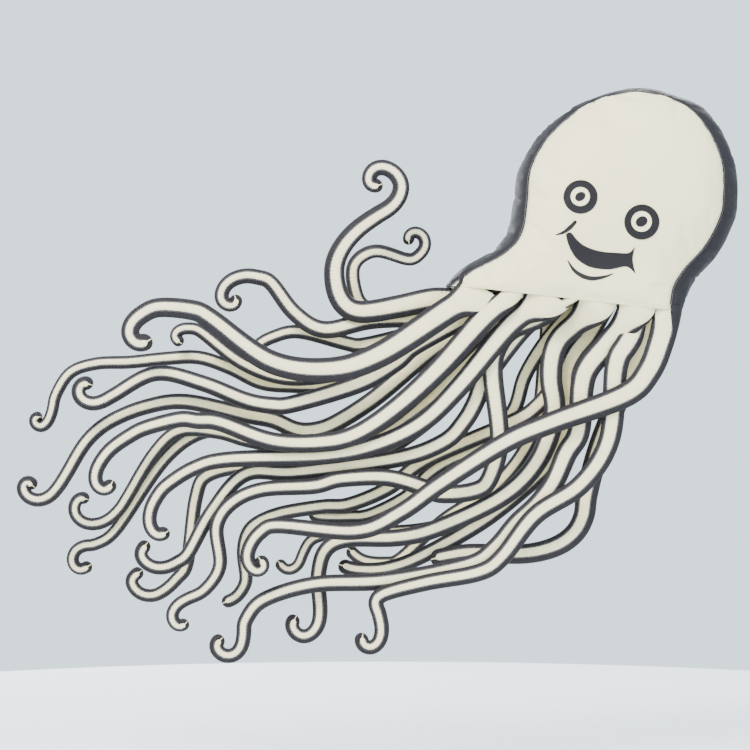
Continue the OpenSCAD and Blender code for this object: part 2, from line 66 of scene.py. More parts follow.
def newGroup(name, inputs, outputs, kind="ShaderNodeTree"):
    tree = bpy.data.node_groups.new(name, kind)
    for label, value in inputs.items():
        socket = value if isinstance(value, str) else "Int" if isinstance(value, int) else "Float"
        made = tree.interface.new_socket(label, in_out="INPUT", socket_type="NodeSocket" + socket)
        if socket in ("Int", "Float"):
            made.default_value = value
    for label, socket in outputs.items():
        tree.interface.new_socket(label, in_out="OUTPUT", socket_type="NodeSocket" + socket)
    return tree, tree.nodes.new("NodeGroupInput").outputs, tree.nodes.new("NodeGroupOutput").inputs


def maths(tree, operation, a, b=0.0, clamp=False):
    node = newNode(tree, "ShaderNodeMath", {"operation": operation, "use_clamp": clamp})
    feed(tree, node.inputs[0], a)
    feed(tree, node.inputs[1], b)
    return node.outputs[0]


# A blend of two colours, each a node's output or three linear parts
def mixColour(tree, factor, a, b):
    node = newNode(tree, "ShaderNodeMix", {"data_type": "RGBA"})
    feed(tree, node.inputs[0], factor)
    for k, value in ((6, a), (7, b)):
        feed(tree, node.inputs[k], (*value, 1) if isinstance(value, tuple) else value)
    return node.outputs[2]


def spread(tree, value, low, high, outLow=0.0, outHigh=1.0):
    return newNode(tree, "ShaderNodeMapRange", {"interpolation_type": "SMOOTHSTEP"}, Value=value,
                   From_Min=low, From_Max=high, To_Min=outLow, To_Max=outHigh).outputs["Result"]


def speckle(tree, vector, scale, detail=3.0, roughness=0.55):
    return newNode(tree, "ShaderNodeTexNoise", Vector=vector, Scale=scale, Detail=detail,
                   Roughness=roughness).outputs["Fac"]


def clothMap(tree):
    return newNode(tree, "ShaderNodeUVMap", {"uv_map": "cloth"}).outputs[0]


def objectPlace(tree):
    return tree.nodes.new("ShaderNodeTexCoord").outputs["Object"]


def partsOf(tree, vector):
    return newNode(tree, "ShaderNodeSeparateXYZ", Vector=vector).outputs


# Ripstop weave from a map in metres: a fine plain weave and a grid of thicker threads
def ripstopWeave():
    tree, given, result = newGroup("ripstopWeave", {"Map": "Vector", "Cell": 0.006, "Thread": 0.07},
                                   {"Height": "Float", "Grid": "Float"})
    parts = partsOf(tree, given["Map"])
    threads = []
    waves = []
    for axis in (0, 1):
        place = maths(tree, "DIVIDE", parts[axis], given["Cell"])
        offset = maths(tree, "ABSOLUTE", maths(tree, "SUBTRACT", maths(tree, "FRACT", place), 0.5))
        threads.append(spread(tree, offset, maths(tree, "SUBTRACT", 0.5, given["Thread"]), 0.5))
        waves.append(maths(tree, "SINE", maths(tree, "MULTIPLY", place, math.tau * 8)))
    grid = maths(tree, "MAXIMUM", *threads)
    fine = maths(tree, "MULTIPLY", maths(tree, "MULTIPLY", *waves), 0.25)
    feed(tree, result["Grid"], grid)
    feed(tree, result["Height"], maths(tree, "ADD", grid, fine))
    return tree


# Puckers that fade away from a seam, and loose crumpling of the cloth
def clothCrumple():
    tree, given, result = newGroup("clothCrumple", {"Map": "Vector", "Seam": 1.0, "Pitch": 0.011,
                                                    "Reach": 0.012}, {"Height": "Float"})
    place = objectPlace(tree)
    shift = maths(tree, "MULTIPLY", speckle(tree, place, 38.0, 1.0), 9.0)
    turn = maths(tree, "DIVIDE", maths(tree, "MULTIPLY", partsOf(tree, given["Map"])[0], math.tau),
                 given["Pitch"])
    wave = maths(tree, "SINE", maths(tree, "ADD", turn, shift))
    pucker = maths(tree, "MULTIPLY", spread(tree, given["Seam"], 0.0, given["Reach"], 1.0, 0.0), wave)
    broad = maths(tree, "MULTIPLY", speckle(tree, place, 16.0, 4.0), 1.6)
    feed(tree, result["Height"], maths(tree, "ADD", pucker, broad))
    return tree


# Dust, sun fade and scuffing: Dust gathers at seams, Fade is broad and soft, Scuff is small marks
def clothWear():
    tree, given, result = newGroup("clothWear", {"Seam": 1.0, "Size": 3.0, "Amount": 0.5},
                                   {"Dust": "Float", "Fade": "Float", "Scuff": "Float"})
    place = objectPlace(tree)
    broad = speckle(tree, place, given["Size"], 2.0)
    fine = speckle(tree, place, maths(tree, "MULTIPLY", given["Size"], 22.0), 5.0, 0.7)
    near = spread(tree, given["Seam"], 0.0, 0.02, 1.0, 0.25)
    marks = {"Dust": maths(tree, "MULTIPLY", near, spread(tree, fine, 0.4, 0.8)),
             "Fade": spread(tree, broad, 0.35, 0.7), "Scuff": spread(tree, fine, 0.66, 0.74)}
    for label, mark in marks.items():
        feed(tree, result[label], maths(tree, "MULTIPLY", mark, given["Amount"]))
    return tree


weaveTree, crumpleTree, wearTree = ripstopWeave(), clothCrumple(), clothWear()


def useGroup(tree, group, **values):
    return newNode(tree, "ShaderNodeGroup", {"node_tree": group}, **values).outputs


def blank(name, **values):
    material = bpy.data.materials.new(name)
    material.use_nodes = True
    shader = material.node_tree.nodes["Principled BSDF"]
    for label, value in values.items():
        shader.inputs[label.replace("_", " ")].default_value = value
    return material, material.node_tree, shader


def bumped(tree, shader, height, distance, strength=1.0, **before):
    node = newNode(tree, "ShaderNodeBump", Strength=strength, Distance=distance, Height=height, **before)
    feed(tree, shader.inputs["Normal"], node.outputs[0])
    return node.outputs[0]


# Colour and roughness of a material, each a number, a colour or a node's output
def paint(tree, shader, colour, rough=None):
    feed(tree, shader.inputs["Base Color"], colour)
    if rough is not None:
        feed(tree, shader.inputs["Roughness"], rough)


# Ripstop cloth in one colour; dust is lighter on dark cloth and darker on pale cloth
def clothMaterial(name, colour, dustColour, faded, grain, sheen, amount, shine=0.3):
    material, tree, shader = blank(name, Roughness=0.62, Sheen_Weight=sheen, Sheen_Roughness=0.45,
                                   Specular_IOR_Level=shine)
    seam = newNode(tree, "ShaderNodeAttribute", {"attribute_name": "seam"}).outputs["Fac"]
    uv = clothMap(tree)
    weave = useGroup(tree, weaveTree, Map=uv)
    crumple = useGroup(tree, crumpleTree, Map=uv, Seam=seam)
    wear = useGroup(tree, wearTree, Seam=seam, Amount=amount)
    tint = mixColour(tree, wear["Fade"], colour, faded)
    for part, share in ((weave["Grid"], grain), (wear["Dust"], 0.55)):
        tint = mixColour(tree, maths(tree, "MULTIPLY", part, share), tint, dustColour)
    rough = maths(tree, "ADD", 0.56, maths(tree, "MULTIPLY", wear["Fade"], 0.14))
    scuffed = maths(tree, "MULTIPLY", wear["Scuff"], 0.2)
    paint(tree, shader, tint, maths(tree, "ADD", rough, scuffed, clamp=True))
    loose = bumped(tree, shader, crumple["Height"], 0.0022, 0.5)
    bumped(tree, shader, weave["Height"], 0.00012, 0.6, Normal=loose)
    return material


creamCloth = clothMaterial("creamCloth", (0.97, 0.865, 0.50), (0.50, 0.46, 0.36), (0.955, 0.862, 0.55),
                           0.10, 0.05, 0.5)
charcoalCloth = clothMaterial("charcoalCloth", (0.017, 0.0155, 0.018), (0.07, 0.065, 0.065),
                              (0.025, 0.023, 0.026), 0.08, 0.0, 0.5, 0.12)
faceCloth = clothMaterial("faceCloth", (0.015, 0.014, 0.016), (0.05, 0.047, 0.047), (0.020, 0.019, 0.021),
                          0.05, 0.0, 0.4, 0.12)
whiteCloth = clothMaterial("whiteCloth", (0.97, 0.88, 0.54), (0.55, 0.50, 0.38), (0.94, 0.875, 0.65),
                           0.06, 0.05, 0.4)
netting = clothMaterial("inletNetting", (0.05, 0.048, 0.053), (0.2, 0.19, 0.19), (0.08, 0.08, 0.085),
                        0.4, 0.2, 0.8)


# Twisted polyester thread: fine slanting strands along each stitch
def threadMaterial(name, colour):
    material, tree, shader = blank(name, Roughness=0.5, Sheen_Weight=0.3)
    fuzz = speckle(tree, objectPlace(tree), 900.0, 2.0)
    shade = tuple(c * 0.6 for c in colour)
    paint(tree, shader, mixColour(tree, spread(tree, fuzz, 0.3, 0.7), shade, colour))
    bumped(tree, shader, fuzz, 0.0002, 0.5)
    return material


creamThread = threadMaterial("creamThread", (0.80, 0.76, 0.62))
greyThread = threadMaterial("greyThread", (0.20, 0.19, 0.205))


# Satin stitch round the face patches: close ridges of thread across the edge, with painted highlight on each
# ridge top and painted shade between the ridges
def satinMaterial():
    material, tree, shader = blank("satinStitch", Roughness=0.5, Specular_IOR_Level=0.2)
    turn = maths(tree, "MULTIPLY", partsOf(tree, clothMap(tree))[0], math.tau / 0.0011)
    wave = maths(tree, "SINE", turn)
    # Painted highlight and painted shade: the one black thread is made lighter on its ridge tops and darker
    # in the grooves
    paintedRidgeLight = spread(tree, wave, -1.0, 1.0)
    paint(tree, shader, mixColour(tree, paintedRidgeLight, (0.009, 0.0085, 0.0095), (0.026, 0.025, 0.027)))
    bumped(tree, shader, wave, 0.0003, 0.6)
    return material


# Metals, plastics and rubber share one look: scratches from fine noise, and grime in patches of fine noise
def hardMaterial(name, colour, grime, metal, rough, size, coat=0.0):
    material, tree, shader = blank(name, Metallic=metal, Coat_Weight=coat)
    wear = useGroup(tree, wearTree, Size=size, Amount=0.9, Seam=0.0)
    marks = maths(tree, "ADD", maths(tree, "MULTIPLY", wear["Scuff"], 0.25),
                  maths(tree, "MULTIPLY", wear["Fade"], 0.12))
    paint(tree, shader, mixColour(tree, wear["Dust"], colour, grime),
          maths(tree, "ADD", rough, marks, clamp=True))
    bumped(tree, shader, wear["Scuff"], 0.0001, 0.4)
    return material


# Heavy webbing: ribs of twill across the tape
def webbingMaterial():
    material, tree, shader = blank("zipWebbing", Roughness=0.78, Sheen_Weight=0.3)
    weave = useGroup(tree, weaveTree, Map=clothMap(tree), Cell=0.0024, Thread=0.22)
    wear = useGroup(tree, wearTree, Amount=0.8, Size=20.0, Seam=0.0)
    tint = mixColour(tree, weave["Grid"], (0.034, 0.032, 0.036), (0.085, 0.082, 0.088))
    paint(tree, shader, mixColour(tree, wear["Dust"], tint, (0.22, 0.21, 0.20)))
    bumped(tree, shader, weave["Height"], 0.0004, 0.8)
    return material


satin, webbing = satinMaterial(), webbingMaterial()
brass = hardMaterial("agedBrass", (0.70, 0.50, 0.22), (0.20, 0.13, 0.06), 1.0, 0.24, 60.0)
zipMetal = hardMaterial("zipMetal", (0.62, 0.47, 0.24), (0.14, 0.11, 0.07), 1.0, 0.32, 80.0)
collarPlastic = hardMaterial("collarPlastic", (0.045, 0.043, 0.048), (0.16, 0.155, 0.15), 0.0, 0.42, 24.0)
capRubber = hardMaterial("capRubber", (0.03, 0.03, 0.032), (0.12, 0.12, 0.12), 0.0, 0.7, 40.0)
glassFibre = hardMaterial("glassFibre", (0.045, 0.045, 0.05), (0.13, 0.13, 0.13), 0.0, 0.22, 50.0, 0.3)
teethPlastic = hardMaterial("teethPlastic", (0.05, 0.048, 0.053), (0.18, 0.17, 0.17), 0.0, 0.36, 90.0)
print("stage: materials")


# An object for a mesh, a lamp or a camera
def linked(name, data):
    made = bpy.data.objects.new(name, data)
    bpy.context.scene.collection.objects.link(made)
    return made


# Geometry helpers. A piece's map is in metres; its seam attribute is the distance to the nearest seam
def meshPiece(name, points, faces, materials, uv=None, seam=None, faceSlots=None):
    mesh = bpy.data.meshes.new(name)
    mesh.from_pydata([tuple(p) for p in points], [], faces)
    for material in materials:
        mesh.materials.append(material)
    if faceSlots is not None:
        mesh.polygons.foreach_set("material_index", faceSlots)
    mesh.polygons.foreach_set("use_smooth", [True] * len(mesh.polygons))
    if uv is not None:
        mesh.uv_layers.new(name="cloth").uv.foreach_set("vector", np.asarray(uv, np.float32).ravel())
    if seam is not None:
        made = mesh.attributes.new("seam", "FLOAT", "POINT")
        made.data.foreach_set("value", np.asarray(seam, np.float32))
    mesh.validate()
    mesh.update()
    return linked(name, mesh)


# A finished piece is attached to the head's body, and the solid parts it stands for are hidden
def declare(piece, slot=None, *nodes):
    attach(piece, "head")
    if nodes:
        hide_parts(*nodes)
    return piece


# Quads over a grid of points, rows by columns, with the row and column of each of their corners
def gridFaces(rows, columns, wrap=False):
    faces = []
    corners = []
    for i in range(rows - 1):
        for j in range(columns if wrap else columns - 1):
            k = (j + 1) % columns
            quad = [(i, j, j), (i, k, j + 1), (i + 1, k, j + 1), (i + 1, j, j)]
            faces.append(tuple(r * columns + c for r, c, _ in quad))
            corners.extend((r, c) for r, _, c in quad)
    return faces, corners


def mapped(corners, along, across):
    return [(along[r][c], across[r][c]) for r, c in corners]


# Turns a piece's faces outwards, judged by all of them or by one face beside a point inside
def facing(piece, centre=(0.01, -0.300, -0.04), face=None):
    faces = piece.data.polygons if face is None else [piece.data.polygons[face]]
    if sum((p.center - Vector(centre)).dot(p.normal) * p.area for p in faces) < 0:
        piece.data.flip_normals()


def baked(piece):
    graph = bpy.context.evaluated_depsgraph_get()
    mesh = bpy.data.meshes.new_from_object(piece.evaluated_get(graph), depsgraph=graph)
    old = piece.data
    piece.modifiers.clear()
    piece.data = mesh
    mesh.name = piece.name
    bpy.data.meshes.remove(old)
    return piece


def thicken(piece, thick, offset=-1.0):
    solid = piece.modifiers.new("thick", "SOLIDIFY")
    solid.thickness = thick
    solid.offset = offset
    solid.use_even_offset = False
    return baked(piece)


def joined(name, pieces):
    for other in bpy.context.selected_objects:
        other.select_set(False)
    for piece in pieces:
        piece.select_set(True)
    bpy.context.view_layer.objects.active = pieces[0]
    bpy.ops.object.join()
    pieces[0].name = name
    pieces[0].data.name = name
    return pieces[0]


def smoothstep(value):
    t = np.clip(value, 0.0, 1.0)
    return t * t * (3 - 2 * t)


def unit(vectors):
    return vectors / np.maximum(np.linalg.norm(vectors, axis=-1, keepdims=True), 1e-9)


# A smooth line through the points; places are counted in points
def spline(points, places):
    p = np.asarray(points, float)
    t = np.asarray(places, float)
    i = np.clip(np.floor(t).astype(int), 0, len(p) - 2)
    f = (t - i)[:, None]
    a, b, c, d = (p[(i + k).clip(0, len(p) - 1)] for k in (-1, 0, 1, 2))
    return 0.5 * (2 * b + (c - a) * f + (2 * a - 5 * b + 4 * c - d) * f**2 + (3 * b - a - 3 * c + d) * f**3)


def lengthsOf(points):
    steps = np.linalg.norm(np.diff(points, axis=0), axis=1)
    return np.concatenate([[0.0], np.cumsum(steps)])


def resampled(points, places):
    s = lengthsOf(points)
    return np.stack([np.interp(places, s, part) for part in points.T], axis=1)


def evenly(points, count):
    return resampled(points, np.linspace(0, lengthsOf(points)[-1], count))


# Evened-out line: resampled every 2 mm and averaged with its neighbours, with its ends kept
def evened(points, spacing=0.002, sigma=0.009):
    fine = evenly(points, max(8, int(lengthsOf(points)[-1] / spacing)))
    reach = int(3 * sigma / spacing)
    weights = np.exp(-0.5 * (np.arange(-reach, reach + 1) * spacing / sigma) ** 2)
    weights /= weights.sum()
    before = 2 * fine[0] - fine[reach:0:-1]
    after = 2 * fine[-1] - fine[-2:-reach - 2:-1]
    longer = np.concatenate([before, fine, after])
    return np.stack([np.convolve(part, weights, mode="valid") for part in longer.T], axis=1)


# Stitches: a small rounded bar at every step along each seam line, from Geometry Nodes
def stitchLine():
    tree, given, result = newGroup(
        "stitchLine", {"Geometry": "Geometry", "Pitch": 0.006, "Length": 0.004, "Radius": 0.0006,
                       "Jitter": 0.12, "Seed": 7, "Material": "Material"}, {"Geometry": "Geometry"},
        "GeometryNodeTree")
    curve = newNode(tree, "GeometryNodeMeshToCurve", Mesh=given["Geometry"]).outputs[0]
    steps = newNode(tree, "GeometryNodeResampleCurve", {"mode": "LENGTH"}, Curve=curve,
                    Length=given["Pitch"])
    normal = newNode(tree, "GeometryNodeInputNamedAttribute", {"data_type": "FLOAT_VECTOR"}, Name="outward")
    tangent = tree.nodes.new("GeometryNodeInputTangent")
    turn = newNode(tree, "FunctionNodeAlignRotationToVector", {"axis": "X"}, Vector=tangent.outputs[0])
    turn = newNode(tree, "FunctionNodeAlignRotationToVector", {"axis": "Z", "pivot_axis": "X"},
                   Rotation=turn.outputs[0], Vector=normal.outputs["Attribute"])
    wide, high = (maths(tree, "MULTIPLY", given["Radius"], part) for part in (2.0, 1.4))
    size = newNode(tree, "ShaderNodeCombineXYZ", X=given["Length"], Y=wide, Z=high)
    bar = newNode(tree, "GeometryNodeMeshCube", Size=size.outputs[0])
    chance = newNode(tree, "FunctionNodeRandomValue", {"data_type": "FLOAT_VECTOR"}, Seed=given["Seed"])
    for k, operation in enumerate(("SUBTRACT", "ADD")):
        feed(tree, chance.inputs[k], maths(tree, operation, 1.0, given["Jitter"]))
    placed = newNode(tree, "GeometryNodeInstanceOnPoints", Points=steps.outputs[0], Instance=bar.outputs[0],
                     Rotation=turn.outputs[0], Scale=chance.outputs[0])
    real = newNode(tree, "GeometryNodeRealizeInstances", Geometry=placed.outputs[0])
    paint = newNode(tree, "GeometryNodeSetMaterial", Geometry=real.outputs[0], Material=given["Material"])
    feed(tree, result["Geometry"], paint.outputs[0])
    return tree


stitchTree = stitchLine()


# Lines: a list of (points, outward normals) pairs
def stitches(name, lines, thread, lift=0.0004, **settings):
    points = []
    outward = []
    edges = []
    for line, normals in lines:
        first = len(points)
        points.extend(np.asarray(line) + np.asarray(normals) * lift)
        outward.extend(normals)
        edges.extend((first + i, first + i + 1) for i in range(len(line) - 1))
    mesh = bpy.data.meshes.new(name)
    mesh.from_pydata([tuple(p) for p in points], edges, [])
    made = mesh.attributes.new("outward", "FLOAT_VECTOR", "POINT")
    made.data.foreach_set("vector", np.asarray(outward, np.float32).ravel())
    mesh.materials.append(thread)
    piece = linked(name, mesh)
    modifier = piece.modifiers.new("stitches", "NODES")
    modifier.node_group = stitchTree
    settings["Material"] = thread
    for item in stitchTree.interface.items_tree:
        if item.in_out == "INPUT" and item.name in settings:
            modifier[item.identifier] = settings[item.name]
    baked(piece)
    if piece.data.attributes.get("outward"):
        piece.data.attributes.remove(piece.data.attributes["outward"])
    return piece


# The head: rounded oval sections between the stations, the same rule as the solid model.
# A station holds its left edge, its right edge (x and z of each) and half of its depth.
head = {
    "stations": [
        (0.020, 0.284, 0.080, 0.286, 0.014), (-0.060, 0.263, 0.140, 0.272, 0.062),
        (-0.150, 0.220, 0.240, 0.225, 0.105), (-0.240, 0.135, 0.300, 0.150, 0.140),
        (-0.296, 0.040, 0.337, 0.050, 0.160), (-0.310, -0.060, 0.338, -0.070, 0.165),
        (-0.322, -0.135, 0.320, -0.135, 0.162), (-0.345, -0.182, 0.285, -0.200, 0.155),
        (-0.390, -0.222, 0.230, -0.262, 0.150), (-0.460, -0.262, 0.192, -0.318, 0.152),
        (-0.522, -0.308, 0.177, -0.388, 0.156),
    ],
    "middle": -0.300,
    "powers": (2.0, 6.0),
    # Charcoal gusset widths seen from the front at each station: real charcoal cloth, with the right side
    # made wider as a painted shadow side
    "leftBorder": [0.068, 0.052, 0.030, 0.023, 0.025, 0.027, 0.028, 0.028, 0.025, 0.019, 0.013],
    "rightBorder": [0.068, 0.064, 0.050, 0.044, 0.042, 0.043, 0.046, 0.049, 0.049, 0.046, 0.042],
    "columns": (60, 10, 60, 10),
    "rows": 96,
    "capRows": 12,
    "crownEdge": 0.95,
    "crownDrop": 0.42,
    "turnSteps": 20,
    "bulge": 0.005,
    "cloth": 0.0012,
    "frames": 18,
    "pressure": 2.2,
    "slack": -0.03,
    "reach": 0.014,
    "ripple": (0.0010, 0.021, 0.034),
    "seamGroove": 0.0020,
    "crownGroove": 0.0006,
    "grooveWidth": 0.005,
    "broad": 0.00072,
}
lastStation = len(head["stations"]) - 1


def sections(u):
    low, high = head["powers"]
    return spline(head["stations"], u), low + (high - low) * (np.asarray(u) / lastStation) ** 2


# Points of the head at a height u, counted in stations, and a turn round the section
def skinAt(u, turn):
    s, n = sections(u)
    left, right = s[:, 0:2], s[:, 2:4]
    across = right - left
    width = np.linalg.norm(across, axis=1)
    size = (np.abs(np.cos(turn)) ** n + np.abs(np.sin(turn)) ** n) ** (-1 / n)
    flat = (left + right) / 2 + across / width[:, None] * (width / 2 * size * np.cos(turn))[:, None]
    return np.stack([flat[:, 0], head["middle"] + s[:, 4] * size * np.sin(turn), flat[:, 1]], axis=1)


# The direction in which the section's edge lies a border's width in from its side
def borderTurn(u, border):
    s, n = sections(np.array([u]))
    half = np.linalg.norm(s[0, 2:4] - s[0, 0:2]) / 2
    inward = min(0.995, max(0.02, 1 - border / half))
    return math.atan2((1 - inward ** n[0]) ** (1 / n[0]), inward)


def evenTurns(u, start, end, count):
    turns = np.linspace(start, end, 160)
    s = lengthsOf(skinAt(np.full(160, u), turns))
    return np.interp(np.linspace(0, s[-1], count + 1), s, turns)


# Turns of one ring's columns: front, right side, back, left side
def ringTurns(u):
    left, right = (borderTurn(u, np.interp(u, range(lastStation + 1), head[key]))
                   for key in ("leftBorder", "rightBorder"))
    corners = [math.pi + left, math.tau - right, math.tau + right, 3 * math.pi - left, 3 * math.pi + left]
    strips = [evenTurns(u, corners[k], corners[k + 1], n)[:-1] for k, n in enumerate(head["columns"])]
    return np.concatenate(strips)


edges = [0, *(int(e) for e in np.cumsum(head["columns"]))]
width = edges[-1]
front, rightSide, back, leftSide = (slice(edges[k], edges[k + 1] + 1) for k in range(4))
share = np.concatenate([np.linspace(-1, 1, n, endpoint=False) for n in head["columns"]])
isSide = np.concatenate([np.full(n, k % 2) for k, n in enumerate(head["columns"])])
crownAt = head["crownEdge"] + head["crownDrop"] * np.where(isSide == 1, 1, np.abs(share) ** 3)
tableLevels = np.linspace(0, lastStation, lastStation * head["turnSteps"] + 1)
turnTable = np.array([ringTurns(u) for u in tableLevels])


# The ring at a level: 0 at the crown's middle, 1 at its edge and 2 at the hem
def ringAt(level):
    u = crownAt * level if level < 1 else crownAt + (lastStation - crownAt) * (level - 1)
    spot = u * head["turnSteps"]
    low = np.clip(np.floor(spot).astype(int), 0, len(turnTable) - 2)
    columns = np.arange(width)
    turn = turnTable[low, columns]
    return skinAt(u, turn + (turnTable[low + 1, columns] - turn) * (spot - low))


crownRow = head["capRows"]
levels = [*np.linspace(0, 1, crownRow, endpoint=False), *np.linspace(1, 2, head["rows"] + 1)]
skin = np.array([ringAt(level) for level in levels])
flatSkin = skin.copy()


# Outward directions of the head's skin, or of any closed tube's grid
def normalsOf(grid):
    n = np.cross(np.roll(grid, -1, axis=1) - np.roll(grid, 1, axis=1), np.gradient(grid, axis=0))
    return unit(n)


def skinNormals():
    n = normalsOf(skin)
    return -n if np.mean(n[40, :edges[1], 1]) > 0 else n


outside = skinNormals()

# Distances along the skin, in metres, to the nearest seam, the crown's edge and the hem
down = np.stack([lengthsOf(skin[:, j]) for j in range(width)], axis=1)
around = np.stack([lengthsOf(np.vstack([ring, ring[:1]])) for ring in skin])
sideGap = np.full(skin.shape[:2], 9.0)
for e in edges[:-1]:
    gap = np.abs(around[:, :-1] - around[:, e:e + 1])
    sideGap = np.minimum(sideGap, np.minimum(gap, around[:, -1:] - gap))
crownGap = np.abs(down - down[crownRow])
seamGap = np.minimum(sideGap, crownGap)

# The dump zip lies at a slant on the back; onZip turns its own X, Y and Z into the frame
zipper = {"turn": -14, "lean": 4, "place": (0.150, -0.13705, -0.020), "width": 0.030, "length": 0.180,
          "toothPitch": 0.0023, "coil": 0.168, "under": 0.0014}
zt, zl = math.radians(zipper["turn"]), math.radians(zipper["lean"])
zipX = np.array([math.cos(zt), math.sin(zt), 0.0])
zipY = np.array([-math.sin(zt) * math.cos(zl), math.cos(zt) * math.cos(zl), math.sin(zl)])
zipZ = np.cross(zipX, zipY)
zipAt = np.array(zipper["place"])


def onZip(x, y, z):
    return zipAt + zipX * x + zipY * y + zipZ * z


# Places where something is sewn on and the cloth is held: seams, inlet, zip and the keel's foot
inlet = {"at": (-0.150, -0.020), "radius": 0.0662, "half": 0.0050, "thick": 0.0022, "hole": 0.0600}
fromInlet = np.linalg.norm(skin[:, :, (0, 2)] - inlet["at"], axis=2)
columns = np.arange(width)
isBack = ((columns >= edges[2]) & (columns <= edges[3]))[None, :]
skinX, skinZ = skin[:, :, 0], skin[:, :, 2]
nearZip = (np.abs(skinX - 0.150) < 0.020) & (np.abs(skinZ + 0.020) < 0.095)
nearKeel = (np.abs(skinX) < 0.006) & (skinZ < 0.200) & (skinZ > -0.165)
held = isBack & ((fromInlet < 0.072) | nearZip | nearKeel)
held[:, edges[:-1]] = True
held[:crownRow + 1] = True
held[-3:] = True


# Inflates the head as cloth with its seams held, so that each panel fills out between them
def inflate(grid):
    faces, corners = gridFaces(len(grid), width, wrap=True)
    points = np.vstack([grid.reshape(-1, 3), grid[0].mean(axis=0)])
    last = len(points) - 1
    faces += [(j, last, (j + 1) % width) for j in range(width)]
    piece = meshPiece("inflating", points, faces, [])
    facing(piece)
    group = piece.vertex_groups.new(name="held")
    group.add([*(int(index) for index in np.flatnonzero(held)), last], 1.0, "REPLACE")
    cloth = piece.modifiers.new("cloth", "CLOTH")
    rules = {"quality": 5, "mass": 0.08, "tension_stiffness": 60, "compression_stiffness": 20,
             "shear_stiffness": 20, "bending_stiffness": 0.15, "tension_damping": 25,
             "compression_damping": 25, "shear_damping": 25, "air_damping": 6,
             "vertex_group_mass": "held", "pin_stiffness": 1, "use_pressure": True,
             "uniform_pressure_force": head["pressure"], "shrink_min": head["slack"]}
    for label, value in rules.items():
        setattr(cloth.settings, label, value)
    cloth.settings.effector_weights.gravity = 0
    cloth.collision_settings.use_collision = False
    cloth.collision_settings.use_self_collision = False
    cloth.point_cache.frame_start = 1
    cloth.point_cache.frame_end = head["frames"]
    for number in range(1, head["frames"] + 1):
        bpy.context.scene.frame_set(number)
    baked(piece)
    moved = np.zeros(len(piece.data.vertices) * 3, np.float32)
    piece.data.vertices.foreach_get("co", moved)
    bpy.data.objects.remove(piece)
    bpy.context.scene.frame_set(1)
    return moved.reshape(-1, 3)[:-1].reshape(grid.shape).astype(float)


skin = inflate(skin)
shift = np.linalg.norm(skin - flatSkin, axis=2)
print("head cloth moved by up to", round(float(shift.max()), 4), "mean", round(float(shift.mean()), 4))
reach = np.minimum(1.0, head["reach"] / np.maximum(shift, 1e-6))
skin = flatSkin + (skin - flatSkin) * reach[:, :, None]

# Puckers drawn up by the thread along every seam, a shallow groove at the seam, and broad waves
height, shortPitch, longPitch = head["ripple"]
wave = np.sin(down * math.tau / shortPitch + 2.3 * np.sin(down * 31 + share * 2))
wave += 0.6 * np.sin(down * math.tau / longPitch + 1.1)
ripple = height * wave * np.exp(-seamGap / 0.013) * smoothstep((down - down[crownRow]) / 0.08)
seamGroove, crownGroove = (depth * np.exp(-(gap / head["grooveWidth"]) ** 2) for depth, gap in
                           ((head["seamGroove"], sideGap), (head["crownGroove"], crownGap)))
skinX, skinZ = skin[:, :, 0], skin[:, :, 2]
broad = head["broad"] * np.sin(skinX * 41 + 27 * skinZ) * np.sin(skinZ * 37 + 1.7)
skin = skin + outside * ((ripple + broad) * ~held - seamGroove - crownGroove)[:, :, None]

# The back lies flat against the underside of the zip's tape
sideways, standing, upwards = ((skin - zipAt) @ way for way in (zipX, zipY, zipZ))
underZip = smoothstep((0.036 - np.abs(sideways)) / 0.016) * smoothstep((0.114 - np.abs(upwards)) / 0.020)
skin = skin - ((standing + zipper["under"]) * underZip * isBack)[:, :, None] * zipY
outside = skinNormals()
print("stage: head skin")


def closedRound(grid):
    return np.concatenate([grid, grid[:, :1]], axis=1)


# A panel cut from the skin below the crown: a closed sheet, with its flat size and area
def panel(name, columnSlice, material, slot, node, keep=None):
    wrapped, gaps, flat = (closedRound(g)[crownRow:, columnSlice] for g in (skin, seamGap, flatSkin))
    rows, columns = wrapped.shape[:2]
    faces, corners = gridFaces(rows, columns)
    if keep is not None:
        kept = [k for k, f in enumerate(faces) if keep(wrapped.reshape(-1, 3)[list(f)])]
        faces = [faces[k] for k in kept]
        corners = [c for k in kept for c in corners[4 * k:4 * k + 4]]
    along = np.stack([lengthsOf(flat[:, j]) for j in range(columns)], axis=1)
    across = np.stack([lengthsOf(row) for row in flat])
    across -= across[:, -1:] / 2
    piece = meshPiece(name, wrapped.reshape(-1, 3), faces, [material], mapped(corners, along, across),
                      gaps.ravel())
    facing(piece)
    a, b, c, d = (flat.reshape(-1, 3)[[f[k] for f in faces]] for k in range(4))
    area = sum(np.linalg.norm(np.cross(p - a, q - p), axis=1).sum() / 2 for p, q in ((b, c), (c, d)))
    thicken(piece, head["cloth"])
    return declare(piece, slot, node), (float(across[:, -1].max() * 2), float(along[-1].max())), float(area)


def outsideInlet(points):
    return np.linalg.norm(points[:, (0, 2)] - inlet["at"], axis=1).max() > inlet["hole"]


pale, dark = (creamCloth, "cream_cloth"), (charcoalCloth, "charcoal_cloth")
frontPanel, frontSize, frontArea = panel("frontPanel", front, *pale, "front_panel")
backPanel, backSize, backArea = panel("backPanel", back, *pale, "back_panel", outsideInlet)
leftGusset, leftSize, leftArea = panel("leftGusset", leftSide, *dark, "left_gusset")
rightGusset, rightSize, rightArea = panel("rightGusset", rightSide, *dark, "right_gusset")


